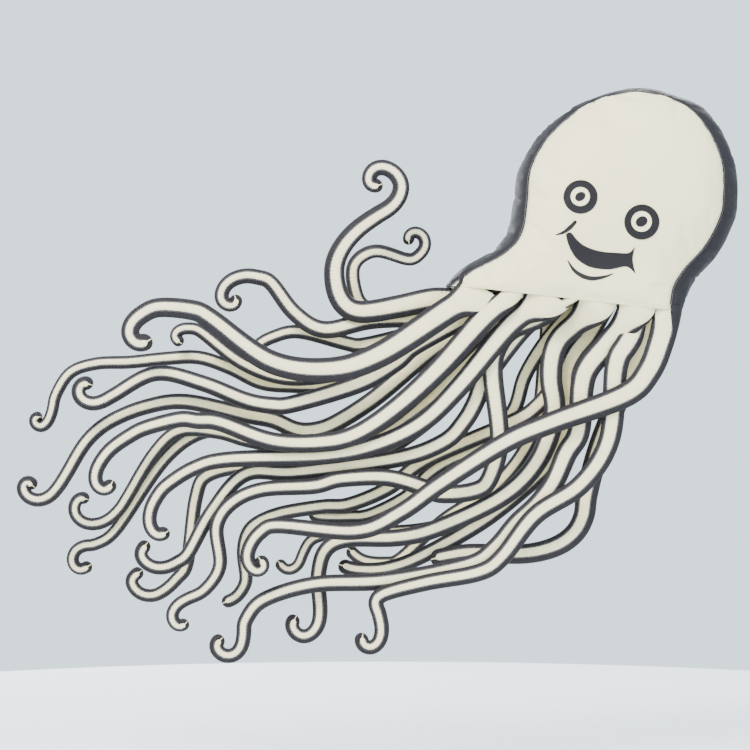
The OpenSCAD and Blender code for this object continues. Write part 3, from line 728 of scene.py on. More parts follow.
# A sheet of rings round a middle point, mapped from above
def ringedSheet(name, grid, middle, middleRow, gaps, node):
    faces, corners = gridFaces(len(grid), width, wrap=True)
    points = np.vstack([grid.reshape(-1, 3), middle[None]])
    first = middleRow * width
    faces += [(first + j, len(points) - 1, first + (j + 1) % width) for j in range(width)]
    uv = [(float(points[v][0]), float(points[v][1])) for f in faces for v in f]
    sheet = meshPiece(name, points, faces, [charcoalCloth], uv, gaps)
    facing(sheet)
    area = sum(p.area for p in sheet.data.polygons)
    thicken(sheet, head["cloth"])
    return declare(sheet, "charcoal_cloth", node), area


# The crown cap closes the top; its middle is a fan of narrow faces
crownGrid = skin[:crownRow + 1]
crownMiddle = closedRound(crownGrid)[0].mean(axis=0) + np.array([0, 0, 0.002])
inner = [crownMiddle + (crownGrid[0] - crownMiddle) * t for t in (0.05, 0.35, 0.7)]
crownSeam = np.concatenate([np.full(3 * width, 0.2), seamGap[:crownRow + 1].ravel(), [0.2]])
crownCap, crownArea = ringedSheet("crownCap", np.concatenate([np.array(inner), crownGrid]), crownMiddle, 0,
                                  crownSeam, "crown_patch")

# The base panel closes the skirt under the arms and sags a little below it
base = {"rows": 14, "sag": 0.010, "lift": 0.006, "inset": 0.003, "seamStep": 0.012}
rim = skin[-1] - outside[-1] * base["inset"] + np.array([0, 0, base["lift"]])
baseGrid = []
for t in 1 - np.arange(base["rows"]) / base["rows"]:
    ring = rim.mean(axis=0) * (1 - t) + rim * t
    ring[:, 2] -= base["sag"] * (1 - t**2)
    ring[:, 2] += 0.0012 * np.sin(ring[:, 0] * 90 + 2) * np.sin(ring[:, 1] * 70) * (1 - t**8)
    baseGrid.append(ring)
baseSeam = [*np.repeat(np.arange(base["rows"]) * base["seamStep"], width), 0.2]
basePanel, baseArea = ringedSheet("basePanel", np.array(baseGrid), baseGrid[-1].mean(axis=0),
                                  base["rows"] - 1, baseSeam, "base_panel")
print("stage: head panels")

# Stitching beside every seam, 4.5 mm from it, and a double row along the hem
headStitch = {"Pitch": 0.0046, "Length": 0.0033, "Radius": 0.00055, "Seed": 3}
seamStep = 0.0045


def alongColumn(column, side):
    towards = unit(skin[crownRow:, (column + side) % width] - skin[crownRow:, column])
    normals = outside[crownRow:, column]
    return skin[crownRow:, column] + towards * seamStep + normals * head["cloth"], normals


def alongRow(row, start, end, drop):
    picked = np.arange(start, end) % width
    falling = unit(skin[min(row + 1, len(skin) - 1), picked] - skin[row - 1, picked])
    return skin[row, picked] + falling * drop, outside[row, picked]


paleLines = []
darkLines = []
for e, side in zip(edges, (1, -1, 1, -1)):
    paleLines.append(alongColumn(e, side))
    darkLines.append(alongColumn(e, -side))
for start, end in ((edges[0], edges[1]), (edges[2], edges[3])):
    paleLines.append(alongRow(crownRow, start, end + 1, seamStep))
darkLines.append(alongRow(crownRow, 0, width + 1, -seamStep))
for up, drop in ((1, -0.001), (2, -0.002)):
    for start, end in ((edges[0], edges[1]), (edges[2], edges[3])):
        paleLines.append(alongRow(len(skin) - 1 - up, start + 1, end, drop))
headStitches = joined("headStitches", [stitches("headPaleStitches", paleLines, creamThread, **headStitch),
                                       stitches("headDarkStitches", darkLines, greyThread, **headStitch)])
declare(headStitches)
print("stage: head stitches", len(headStitches.data.polygons))

frontTree, backTree = (BVHTree.FromPolygons([v.co for v in piece.data.vertices],
                                            [tuple(p.vertices) for p in piece.data.polygons])
                       for piece in (frontPanel, backPanel))


# The point on the front or back of the head at a place in X and Z, and the outward direction there
def onHead(tree, x, z):
    fromFront = tree is frontTree
    hit, normal, index, distance = tree.ray_cast(Vector((x, -1.0 if fromFront else 0.6, z)),
                                                 Vector((0, 1.0 if fromFront else -1.0, 0)))
    if hit is None:
        hit, normal, index, distance = tree.find_nearest(Vector((x, -0.46 if fromFront else -0.14, z)))
    normal = np.array(normal)
    return np.array(hit), -normal if (normal[1] > 0) == fromFront else normal


# Face patches: a grid over a flat outline, laid on the head, with a raised satin-stitched edge.
# Rows run round or along the outline, so that the edge thread crosses it.
face = {
    "edge": [(0.0, 0.0002), (0.0004, 0.0019), (0.0012, 0.0027), (0.0021, 0.0020), (0.0028, 0.0016)],
    "level": 0.0016,
    "mapStep": 0.004,
    "leftEye": {"centre": (-0.130, -0.051), "iris": (-0.131, -0.050), "outer": 0.050, "inner": 0.0285,
                "pupil": (0.0165, 0.0130), "tilt": 35},
    "rightEye": {"centre": (0.050, -0.125), "iris": (0.049, -0.1235), "outer": 0.052, "inner": 0.0305,
                 "pupil": (0.0185, 0.0150), "tilt": 30},
    "upperLip": [(-0.173, -0.160), (-0.159, -0.155), (-0.142, -0.175), (-0.122, -0.192), (-0.095, -0.204),
                 (-0.062, -0.212), (-0.020, -0.215), (0.013, -0.215), (0.030, -0.197)],
    "lowerLip": [(-0.173, -0.162), (-0.168, -0.185), (-0.156, -0.212), (-0.140, -0.234), (-0.110, -0.254),
                 (-0.080, -0.262), (-0.040, -0.264), (0.006, -0.256), (0.032, -0.277)],
    "mouthEnd": (0.024, -0.235),
    "cheek": ([(-0.202, -0.162), (-0.180, -0.155), (-0.160, -0.140), (-0.146, -0.125)],
              [0.003, 0.009, 0.013, 0.010]),
    "chin": ([(-0.167, -0.238), (-0.150, -0.265), (-0.125, -0.283), (-0.095, -0.291), (-0.060, -0.286),
              (-0.035, -0.277)], [0.003, 0.010, 0.013, 0.013, 0.009, 0.003]),
}


# A closed outline in X and Z to a patch: rings step in from the outline towards a middle line,
# or to the edge of a hole. A patch with neither a hole nor a middle line ends in a fan.
def patch(name, node, material, edgeMaterial, outline, middle, lift=0.0, hole=None, long=False):
    middle = np.broadcast_to(middle, outline.shape)
    count = len(outline)
    reach = np.linalg.norm(outline - middle, axis=1)
    rings = [outline + (middle - outline) * np.minimum(inward / np.maximum(reach, 1e-6), 0.45)[:, None]
             for inward, height in face["edge"]]
    heights = [height for inward, height in face["edge"]]
    start = rings[-1]
    end = middle if hole is None else hole
    inwards = 6 if hole is None else 4
    for k in range(1, inwards + 1):
        t = 0.97 if hole is None and k == inwards and not long else k / inwards
        rings.append(start + (end - start) * t)
        heights.append(face["level"])
    if hole is not None:
        gap = unit(end - start)
        rings[-1] = end - gap * face["edge"][-1][0]
        for inward, height in reversed(face["edge"][:-1]):
            rings.append(end - gap * inward)
            heights.append(height)
    points = []
    for ring, height in zip(rings, heights):
        for x, z in ring:
            hit, normal = onHead(frontTree, x, z)
            points.append(hit + normal * (height + lift))
    faces, corners = gridFaces(len(rings), count, wrap=True)
    along = lengthsOf(np.vstack([outline, outline[:1]]))
    uv = [(along[c], r * face["mapStep"]) for r, c in corners]
    bead = len(face["edge"]) - 1
    lastBead = len(rings) - 1 - (bead if hole is not None else 0)
    slots = np.repeat([int(i < bead or i >= lastBead) for i in range(len(rings) - 1)], count).tolist()
    if hole is None and not long:
        first = len(points) - count
        faces.extend((first + j, len(points), first + (j + 1) % count) for j in range(count))
        for j in range(count):
            uv.extend([(along[j], 0.05), (along[j], 0.06), (along[j + 1], 0.05)])
        points.append(np.mean(points[-count:], axis=0))
        slots.extend([0] * count)
    piece = meshPiece(name, points, faces, [material, edgeMaterial], uv, np.full(len(points), 0.03), slots)
    facing(piece)
    return declare(piece, "white_patch" if material is whiteCloth else "face_patch", node)


def disc(centre, wide, high=None, tilt=0.0, count=72):
    turn = np.linspace(0, math.tau, count, endpoint=False)
    x, z = wide * np.cos(turn), (high or wide) * np.sin(turn)
    c, s = math.cos(math.radians(tilt)), math.sin(math.radians(tilt))
    return np.stack([centre[0] + x * c - z * s, centre[1] + x * s + z * c], axis=1)


patches = []
for side in ("left", "right"):
    eye = face[side + "Eye"]
    iris = eye["iris"]
    patches += [
        patch(side + "EyeRing", side + "_eye_ring", faceCloth, satin, disc(eye["centre"], eye["outer"]),
              eye["centre"], hole=disc(iris, eye["inner"])),
        patch(side + "EyeWhite", side + "_eye_white", whiteCloth, whiteCloth,
              disc(iris, eye["inner"] - 0.0004), iris),
        patch(side + "Pupil", side + "_pupil", faceCloth, satin, disc(iris, *eye["pupil"], tilt=eye["tilt"]),
              iris, lift=0.0008),
    ]

lips = {"count": 61, "endCount": 13}
upper, lower = (evenly(evened(spline(face[key], np.linspace(0, 8, 80)), 0.001, 0.003), lips["count"])
                for key in ("upperLip", "lowerLip"))
corner = spline([upper[-1], face["mouthEnd"], lower[-1]], np.linspace(0, 2, lips["endCount"] + 2))[1:-1]
halfway = (upper + lower) / 2
halfway = resampled(halfway, np.linspace(0, 1, lips["count"]).clip(0.06, 0.94) * lengthsOf(halfway)[-1])
mouthMiddle = np.vstack([halfway, np.repeat(halfway[-1:], lips["endCount"], axis=0), halfway[::-1][:-1]])
patches.append(patch("mouthPatch", "mouth_patch", faceCloth, satin,
                     np.vstack([upper, corner, lower[::-1][:-1]]), mouthMiddle, long=True))


# A stroke's outline, with round ends, and its middle line
def strokeOutline(points, widths):
    line = evenly(evened(spline(points, np.linspace(0, len(points) - 1, 60)), 0.001, 0.004), 41)
    wide = np.interp(np.linspace(0, 1, 41), np.linspace(0, 1, len(widths)), widths) / 2
    ahead = unit(np.gradient(line, axis=0))
    across = np.stack([-ahead[:, 1], ahead[:, 0]], axis=1)
    cap = np.linspace(math.pi / 2, -math.pi / 2, 9)[1:-1]
    tip = [line[-1] + wide[-1] * (ahead[-1] * math.cos(t) + across[-1] * math.sin(t)) for t in cap]
    tail = [line[0] - wide[0] * (ahead[0] * math.cos(t) + across[0] * math.sin(t)) for t in cap]
    side = across * wide[:, None]
    return (np.vstack([line + side, tip, (line - side)[::-1], tail]),
            np.vstack([line, np.repeat(line[-1:], 7, axis=0), line[::-1], np.repeat(line[:1], 7, axis=0)]))


for key in ("cheek", "chin"):
    patches.append(patch(key + "Line", key + "_line", satin, satin, *strokeOutline(*face[key]), long=True))
print("stage: face")


# Arms: layer from the front, widths at root, shoulder and tip, and route, in millimetres
armTable = [
    (4, (74, 66, 44), [
        (-485, -355), (-560, -350), (-660, -370), (-750, -386), (-798, -384), (-830, -362), (-850, -322),
        (-857, -265), (-847, -220), (-820, -175), (-780, -135), (-730, -100), (-690, -75), (-665, -45),
        (-657, -10), (-670, 20), (-692, 38), (-717, 44), (-740, 36), (-753, 15), (-750, -3), (-738, -12),
        (-722, -8)]),
    (9, (46, 46, 36), [
        (-460, -360), (-540, -380), (-700, -385), (-755, -375), (-790, -340), (-800, -245), (-735, -200),
        (-635, -226), (-605, -215), (-585, -190), (-585, -165), (-597, -148), (-617, -143), (-635, -155),
        (-632, -172)]),
    (5, (56, 56, 42), [
        (-435, -365), (-530, -400), (-740, -410), (-885, -440), (-975, -390), (-1045, -300), (-1082, -284),
        (-1122, -279), (-1160, -290), (-1185, -312), (-1194, -339), (-1187, -358), (-1168, -367),
        (-1150, -360), (-1153, -345)]),
    (7, (50, 50, 38), [
        (-410, -360), (-510, -410), (-620, -450), (-770, -485), (-820, -480), (-965, -445), (-1045, -462),
        (-1085, -485), (-1110, -515)]),
    (0, (84, 76, 52), [
        (-465, -365), (-520, -385), (-720, -515), (-870, -560), (-1045, -535), (-1220, -410),
        (-1270, -385), (-1370, -377), (-1420, -398), (-1448, -425), (-1455, -453), (-1442, -475),
        (-1420, -482), (-1400, -472)]),
    (8, (50, 50, 36), [
        (-385, -360), (-480, -420), (-750, -540), (-840, -570), (-1000, -585), (-1135, -540),
        (-1260, -445), (-1292, -435), (-1317, -436), (-1335, -448), (-1337, -464), (-1322, -476)]),
    (10, (50, 48, 36), [
        (-360, -365), (-480, -445), (-580, -500), (-680, -555), (-780, -590), (-880, -605), (-980, -607),
        (-1080, -598), (-1175, -553), (-1270, -522), (-1370, -525), (-1480, -536), (-1580, -540),
        (-1660, -567), (-1705, -635), (-1715, -680), (-1728, -715), (-1745, -732), (-1762, -730),
        (-1772, -715), (-1768, -702), (-1756, -702)]),
    (3, (60, 56, 42), [
        (-405, -365), (-460, -400), (-620, -490), (-670, -535), (-780, -600), (-975, -660), (-1040, -665),
        (-1120, -650), (-1245, -600), (-1385, -570), (-1510, -635), (-1540, -652), (-1570, -660),
        (-1598, -652), (-1614, -632), (-1612, -610), (-1597, -597), (-1580, -602)]),
    (6, (56, 54, 40), [
        (-375, -365), (-445, -415), (-570, -505), (-730, -640), (-845, -715), (-910, -740), (-970, -740),
        (-1040, -710), (-1120, -695), (-1300, -655), (-1420, -670), (-1530, -715), (-1600, -775),
        (-1655, -865), (-1680, -905), (-1708, -937), (-1740, -950), (-1770, -943), (-1788, -922),
        (-1787, -902), (-1772, -893), (-1758, -906)]),
    (1, (76, 60, 42), [
        (-360, -375), (-410, -405), (-545, -555), (-670, -670), (-790, -750), (-895, -775), (-1040, -770),
        (-1195, -715), (-1260, -710), (-1310, -705), (-1410, -730), (-1460, -755), (-1510, -790),
        (-1540, -825), (-1557, -860), (-1557, -892), (-1540, -910), (-1521, -908), (-1512, -893)]),
    (11, (50, 46, 38), [
        (-325, -365), (-400, -435), (-670, -690), (-860, -790), (-960, -800), (-1120, -775), (-1210, -750),
        (-1330, -745), (-1410, -815), (-1495, -955), (-1520, -990), (-1552, -1017), (-1590, -1030),
        (-1626, -1024), (-1650, -1000), (-1652, -970), (-1635, -948), (-1616, -952)]),
    (12, (50, 46, 38), [
        (-300, -370), (-370, -440), (-560, -640), (-760, -770), (-960, -795), (-1060, -785), (-1140, -760),
        (-1260, -750), (-1380, -835), (-1525, -1045), (-1590, -1092), (-1622, -1096), (-1650, -1110),
        (-1662, -1136), (-1655, -1160), (-1635, -1170), (-1612, -1158)]),
    (2, (70, 58, 42), [
        (-265, -385), (-335, -430), (-485, -610), (-600, -720), (-740, -785), (-895, -815), (-1170, -825),
        (-1270, -850), (-1350, -900), (-1380, -935), (-1398, -972), (-1402, -1008), (-1392, -1035),
        (-1371, -1048), (-1353, -1038)]),
    (13, (50, 50, 40), [
        (-270, -370), (-350, -460), (-520, -660), (-620, -750), (-720, -805), (-920, -850), (-1100, -850),
        (-1245, -880), (-1285, -950), (-1312, -1150), (-1340, -1195), (-1375, -1230), (-1410, -1250),
        (-1445, -1250), (-1470, -1235), (-1484, -1212), (-1478, -1192), (-1458, -1178)]),
    (4, (60, 54, 40), [
        (-230, -385), (-300, -445), (-405, -585), (-435, -655), (-470, -715), (-530, -775), (-670, -825),
        (-970, -865), (-1120, -870), (-1220, -980), (-1290, -1105), (-1320, -1130), (-1350, -1145),
        (-1382, -1149), (-1410, -1139), (-1430, -1118), (-1431, -1098), (-1416, -1078)]),
    (3, (66, 56, 38), [
        (-180, -390), (-260, -410), (-330, -440), (-370, -490), (-385, -565), (-365, -765), (-395, -885),
        (-440, -920), (-540, -930), (-590, -910), (-700, -880), (-840, -885), (-915, -905), (-1070, -915),
        (-1160, -955), (-1205, -1025), (-1195, -1140), (-1240, -1212), (-1295, -1240), (-1323, -1259),
        (-1337, -1285), (-1330, -1310), (-1312, -1320), (-1298, -1310)]),
    (0, (84, 64, 42), [
        (125, -430), (110, -480), (75, -565), (5, -635), (-210, -715), (-350, -775), (-540, -895),
        (-660, -980), (-790, -1035), (-1020, -1018), (-1070, -1035), (-1100, -1070), (-1112, -1110),
        (-1100, -1140), (-1081, -1150), (-1064, -1136), (-1076, -1117)]),
    (7, (50, 50, 40), [
        (-120, -390), (-145, -490), (-185, -590), (-255, -675), (-330, -720), (-580, -830), (-695, -915),
        (-815, -965), (-890, -970), (-1015, -990), (-1090, -1020), (-1120, -1055), (-1130, -1110),
        (-1122, -1185), (-1134, -1220), (-1156, -1245), (-1185, -1258)]),
    (8, (46, 46, 38), [
        (-150, -390), (-225, -480), (-285, -580), (-320, -685), (-415, -790), (-505, -830), (-575, -875),
        (-640, -940), (-750, -995), (-815, -1002), (-890, -1002), (-925, -995)]),
    (2, (80, 62, 42), [
        (20, -420), (-40, -480), (-100, -550), (-120, -610), (-130, -745), (-165, -805), (-205, -895),
        (-255, -960), (-315, -1015), (-380, -1090), (-460, -1140), (-700, -1185), (-915, -1195),
        (-1065, -1240), (-1118, -1300), (-1123, -1335), (-1128, -1370), (-1142, -1395), (-1163, -1406),
        (-1186, -1403), (-1204, -1386), (-1205, -1366), (-1192, -1355)]),
    (4, (74, 60, 42), [
        (-100, -405), (-145, -430), (-185, -470), (-205, -520), (-210, -590), (-200, -690), (-245, -825),
        (-350, -935), (-545, -1030), (-665, -1060), (-820, -1065), (-885, -1100), (-905, -1180),
        (-902, -1225), (-898, -1280), (-905, -1320), (-926, -1347), (-952, -1354), (-975, -1340),
        (-984, -1316), (-974, -1299)]),
    (9, (46, 46, 38), [
        (-210, -380), (-220, -490), (-250, -730), (-360, -900), (-525, -1010), (-660, -1130),
        (-705, -1142), (-750, -1140), (-785, -1128), (-810, -1105)]),
    (10, (44, 44, 34), [
        (-80, -395), (-160, -500), (-210, -770), (-280, -880), (-410, -980), (-560, -1035), (-700, -1050),
        (-820, -1050), (-920, -1070), (-953, -1115), (-963, -1142), (-983, -1163), (-1008, -1164),
        (-1025, -1145)]),
    (1, (76, 62, 42), [
        (65, -430), (15, -480), (-20, -550), (-40, -765), (-125, -900), (-260, -990), (-360, -1115),
        (-430, -1160), (-590, -1190), (-725, -1230), (-722, -1285), (-716, -1315), (-717, -1345),
        (-728, -1369), (-747, -1381), (-766, -1377), (-777, -1361), (-774, -1346)]),
    (6, (56, 56, 44), [
        (-60, -400), (-95, -460), (-135, -510), (-160, -570), (-160, -680), (-170, -750), (-200, -805),
        (-235, -865), (-400, -1005), (-590, -1115), (-700, -1155), (-790, -1158), (-835, -1145)]),
    (5, (60, 70, 54), [
        (100, -420), (45, -520), (-60, -780), (-100, -925), (-110, -995), (-140, -1050), (-200, -1090),
        (-295, -1110), (-445, -1107), (-510, -1115), (-560, -1125)]),
]

arm = {
    "step": 0.018,
    "fan": 0.008,
    "fanX": 0.190,
    "lastLayer": 13,
    "shoulder": 0.35,
    "ring": 0.005,
    "thickShare": 0.45,
    "roundness": 2.25,
    "across": (8, 4, 6, 4),
    "creamShare": (0.62, 0.49, 0.36),
    # The left-of-travel, lower border takes the larger share of the charcoal: real charcoal cloth, widened
    # as a painted shadow side
    "leftShare": 0.60,
    "borderGrows": 0.085,
    "tipExtra": 0.010,
    "tuck": 0.016,
    "sigma": 0.009,
    "rootStraight": 0.030,
    "root": {"halfDepth": 0.020, "wideOver": 0.110, "deepOver": 0.120, "over": 0.0035, "up": 0.014,
             "riseFrom": 0.010, "riseOver": 0.150},
    "sliver": {"narrow": 0.18, "wideOver": 0.120, "riseOver": 0.100},
    "tightest": 0.88,
    "pillow": 0.07,
    "seamDraw": 0.055,
    "folds": (0.0026, 0.0235),
    "puckers": (0.0007, 0.0175),
    "waves": (0.0008, 0.083),
    "blend": (0.045, 0.060),
    "fill": 0.85,
    "stitch": {"Pitch": 0.0062, "Length": 0.0042, "Radius": 0.00055},
}

# The arms that start at the front of the skirt, and the hem points on each side of each
flares = {
    5: ((-0.506, -0.318), (-0.365, -0.326)),
    10: ((-0.365, -0.322), (-0.304, -0.338)),
    13: ((-0.304, -0.338), (-0.161, -0.349)),
    16: ((-0.161, -0.349), (-0.152, -0.353)),
    21: ((-0.152, -0.353), (-0.030, -0.364)),
    20: ((-0.030, -0.364), (0.088, -0.376)),
    17: ((0.088, -0.376), (0.172, -0.388)),
}

# The borders that the two outermost arms carry on from the gussets of the head; the right arm carries on the
# wide right border, the head's painted shadow side
outerBorders = {5: (0.0004, 0.016), 17: (0.040, 0.0004)}

# An arm that comes out of a slit as a narrow sliver: where it starts, and how far back it lies there
slivers = {24: ((0.082, -0.372), 0.012)}


# The arm's middle line in its own plane, from its root
def armLine(number, route, root):
    local = np.array(route, float) / 1000 - root
    if number in flares:
        start = np.mean(flares[number], axis=0) - root
        start = start - unit(local[1] * 0.6 + local[2] * 0.4 - start) * arm["tuck"]
        local = np.vstack([start, (start + local[1]) / 2 if number == 16 else start * 0.45, local[1:]])
    elif number in slivers:
        local = np.vstack([np.array(slivers[number][0]) - root, local[1:]])
    else:
        local = np.vstack([local[0] - unit(local[1] - local[0]) * arm["rootStraight"], local])
    local = np.vstack([local, local[-1] + unit(local[-1] - local[-2]) * arm["tipExtra"]])
    line = evened(spline(local, np.linspace(0, len(local) - 1, 12 * len(local))), 0.002, arm["sigma"])
    return line, unit(local[2] - local[0])


# Seams round the section, then the columns of the strips between them: front, right, back, left
def armColumns(leftBorder, rightBorder, half):
    leftTurn, rightTurn = (np.arccos(np.clip(1 - border / half, 0.02, 0.9995) ** (arm["roundness"] / 2))
                           for border in (leftBorder, rightBorder))
    cuts = [leftTurn, math.pi - rightTurn, math.pi + rightTurn, math.tau - leftTurn, math.tau + leftTurn]
    strips = [(k, i / n) for k, n in enumerate(arm["across"]) for i in range(n)]
    turn = np.stack([cuts[k] + (cuts[k + 1] - cuts[k]) * place for k, place in strips], axis=1)
    return turn, np.array([k for k, place in strips]), np.array([place for k, place in strips])


# Stitches on both sides of the front seams, and beside the back seams on their pale side
def armStitches(name, number, points, normals, first):
    wide = points.shape[1]
    last = len(points) - 9
    lines = {"Pale": [], "Dark": []}
    starts = np.cumsum([0, *arm["across"]])
    for k, side in enumerate((1, -1, 1, -1)):
        for step, kind in ((side, "Pale"), (-side, "Dark")):
            if kind == "Dark" and k >= 2:
                continue
            here, there = starts[k] % wide, (starts[k] + step) % wide
            near = points[:, there] - points[:, here]
            size = np.maximum(np.linalg.norm(near, axis=1, keepdims=True), 1e-6)
            put = points[:, here] + near / size * np.minimum(0.0026, size * 0.6)
            out = (normals[:, there] + normals[:, here]) / 2
            lines[kind].append((put[first:last], out[first:last]))
    return [stitches(name + "Pale", lines["Pale"], creamThread, Seed=number, **arm["stitch"]),
            stitches(name + "Dark", lines["Dark"], greyThread, Seed=number + 50, **arm["stitch"])]


def fadeTo(value, goal, amount):
    return value + (goal - value) * amount


def armPiece(number, layer, widths, route):
    name = f"arm_{number:02d}"
    random = np.random.default_rng(100 + number)
    offset = layer - arm["lastLayer"] / 2
    root = np.array(route[0]) / 1000
    fan = math.atan(offset * arm["fan"])
    planeY = head["middle"] + offset * (arm["step"] + arm["fan"] * (arm["fanX"] - root[0]))
    along = np.array([math.cos(fan), -math.sin(fan), 0.0])
    outward = np.array([math.sin(fan), math.cos(fan), 0.0])
    upwards = np.array([0.0, 0.0, 1.0])
    pivot = np.array([root[0], planeY, root[1]])
    line, going = armLine(number, route, root)

    # Rings along the arm, and the bend at each
    total = lengthsOf(line)[-1]
    tipHalf = widths[2] / 2000
    places = np.linspace(0, total - tipHalf, int((total - tipHalf) / arm["ring"]))
    cap = total - tipHalf + tipHalf * np.sin(np.linspace(0, math.pi / 2, 9)[1:])
    s = np.concatenate([places, cap[:-1], [total - 0.0002]])
    centre = resampled(line, s)
    ahead = unit(np.gradient(centre, axis=0))
    leftward = np.stack([-ahead[:, 1], ahead[:, 0]], axis=1)
    bend = np.gradient(np.unwrap(np.arctan2(ahead[:, 1], ahead[:, 0])), s)
    bend = np.convolve(np.pad(bend, 2, mode="edge"), np.ones(5) / 5, mode="valid")

    # Half widths of the arm, its cream front and its dark borders; the left-of-travel, lower border is the
    # wider one, as a painted shadow side on real charcoal cloth
    half = np.interp(s / total, [0, arm["shoulder"], 1], widths) / 2000
    cream = np.interp(s / total, [0, 0.3, 1], arm["creamShare"]) * half
    borders = [2 * (half - cream) * part for part in (arm["leftShare"], 1 - arm["leftShare"])]
    if number in flares:
        starts = outerBorders.get(number, (0.0004, 0.0004))
        grow = smoothstep(s / arm["borderGrows"])
        borders = [border * grow + first * (1 - grow) for border, first in zip(borders, starts)]
        mouth = np.linalg.norm(np.diff(flares[number], axis=0)) / 2
        half = fadeTo(half, max(mouth, 0.012), 1 - smoothstep(s / arm["root"]["wideOver"]))
    if number in slivers:
        narrow = fadeTo(arm["sliver"]["narrow"], 1, smoothstep(s / arm["sliver"]["wideOver"]))
        half, borders = half * narrow, [border * narrow for border in borders]
    creamEnd = np.clip((total - borders[1][-1] * 1.2 - s) / (cream[-1] * 1.2), 0, 1)
    squeeze = np.sqrt(np.maximum(1 - (1 - creamEnd) ** 2, 0.0004))
    shiftIn = (2 * half - borders[0] - borders[1]) * (1 - squeeze) / 2
    tip = np.clip((total - s) / tipHalf, 0, 1)
    roundTip = np.sqrt(np.maximum(1 - (1 - tip) ** 2, 1e-5))[:, None]

    # Depth of the arm, and how far its root rises to meet the front of the skirt
    gap = arm["step"] + arm["fan"] * (arm["fanX"] - root[0] - centre[:, 0])
    deep = np.minimum(gap * arm["thickShare"], half * 0.9)
    rise = np.zeros(len(s))
    if number in flares:
        begin = arm["root"]
        top, normal = onHead(frontTree, *(np.mean(flares[number], axis=0) + np.array([0.0, begin["up"]])))
        deep = fadeTo(deep, begin["halfDepth"], 1 - smoothstep(s / begin["deepOver"]))
        rise = top[1] + begin["over"] + begin["halfDepth"] - planeY
        rise = rise * (1 - smoothstep((s - begin["riseFrom"]) / begin["riseOver"]))
    if number in slivers:
        rise = slivers[number][1] * (1 - smoothstep(s / arm["sliver"]["riseOver"]))

    # The section at each ring, narrower on the inside of a tight bend
    tight = np.minimum(half, arm["tightest"] / np.maximum(np.abs(bend), 1e-6))[:, None]
    turn, kinds, places = armColumns(borders[0] + shiftIn, borders[1] + shiftIn, half)
    flatPart, deepPart = (np.sign(part) * np.abs(part) ** (2 / arm["roundness"])
                          for part in (np.cos(turn), np.sin(turn)))
    isInside = np.sign(bend)[:, None] * np.where(flatPart > 0, 1, -1) > 0
    sideways = flatPart * np.where(isInside, tight, half[:, None]) * roundTip
    pillow = 1 + arm["pillow"] * np.where(kinds % 2 == 0, np.sin(np.pi * places), 0)
    outwards = deepPart * deep[:, None] * pillow * roundTip

    # Loose cloth: folds on the inside of each bend, puckers at the seams, and slow waves
    inside = np.clip(np.sign(bend)[:, None] * flatPart, 0, 1) ** 0.7
    folding = np.clip(np.abs(bend) * half, 0, 0.9)[:, None] * inside
    phase = random.uniform(0, math.tau, 4)
    kindsOfWave = [arm[key] for key in ("folds", "puckers", "waves")]
    folds, puckers, waves = (height * np.sin(s * math.tau / pitch + shift)[:, None]
                             for (height, pitch), shift in zip(kindsOfWave, phase))
    loose = (folds - 0.4 * arm["folds"][0]) * folding + waves * np.sin(turn * 2 + phase[3])
    loose = loose + puckers * np.exp(-6 * np.minimum(places, 1 - places))
    calm = np.clip(s / 0.05, 0, 1)[:, None] * roundTip
    swell = 1 + calm * (loose / np.maximum(deep[:, None], 0.004) - arm["seamDraw"] * (places == 0))
    spot = centre[:, None, :] + leftward[:, None, :] * sideways[:, :, None]
    depth = rise[:, None] - outwards * swell
    points = pivot + spot[:, :, 0:1] * along + spot[:, :, 1:2] * upwards + depth[:, :, None] * outward

    # The tube with its map, its seam distances and a fan of faces over each end
    rows, wide = points.shape[:2]
    faces, corners = gridFaces(rows, wide, wrap=True)
    girth = np.stack([lengthsOf(ring) for ring in closedRound(points)])
    uv = mapped(corners, np.repeat(s[:, None], wide + 1, axis=1), girth)
    starts = np.cumsum([0, *arm["across"]])
    seam = np.minimum(girth[:, :-1] - girth[:, starts[kinds]], girth[:, starts[kinds + 1]] - girth[:, :-1])
    for j in range(wide):
        k = (j + 1) % wide
        faces += [(rows * wide, k, j), (rows * wide + 1, (rows - 1) * wide + j, (rows - 1) * wide + k)]
        uv.extend([(0, 0), (0, 0.01), (0.01, 0), (s[-1], 0), (s[-1], 0.01), (s[-1], 0.02)])
    slots = [*np.tile(kinds % 2, rows - 1).tolist(), *[1] * (2 * wide)]
    ends = np.vstack([points.reshape(-1, 3), points[0].mean(axis=0), points[-1].mean(axis=0)])
    piece = meshPiece(name.replace("_", ""), ends, faces, [creamCloth, charcoalCloth], uv,
                      [*seam.ravel(), 0.0, 0.0], slots)
    facing(piece, points[rows // 2].mean(axis=0), rows // 2 * wide)

    normals = normalsOf(points)
    fromMiddle = (points - points.mean(axis=1, keepdims=True))[:-8]
    if np.mean(np.einsum("ijk,ijk->ij", normals[:-8], fromMiddle)) < 0:
        normals = -normals
    firstRing = 12 if number in flares else 6
    joined(piece.name, [piece, *armStitches(name, number, points, normals, firstRing)])
    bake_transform(piece)
    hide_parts(name)
    return piece


arms = [armPiece(i + 1, *row) for i, row in enumerate(armTable)]
print("stage: arms", sum(len(p.data.polygons) for p in arms))


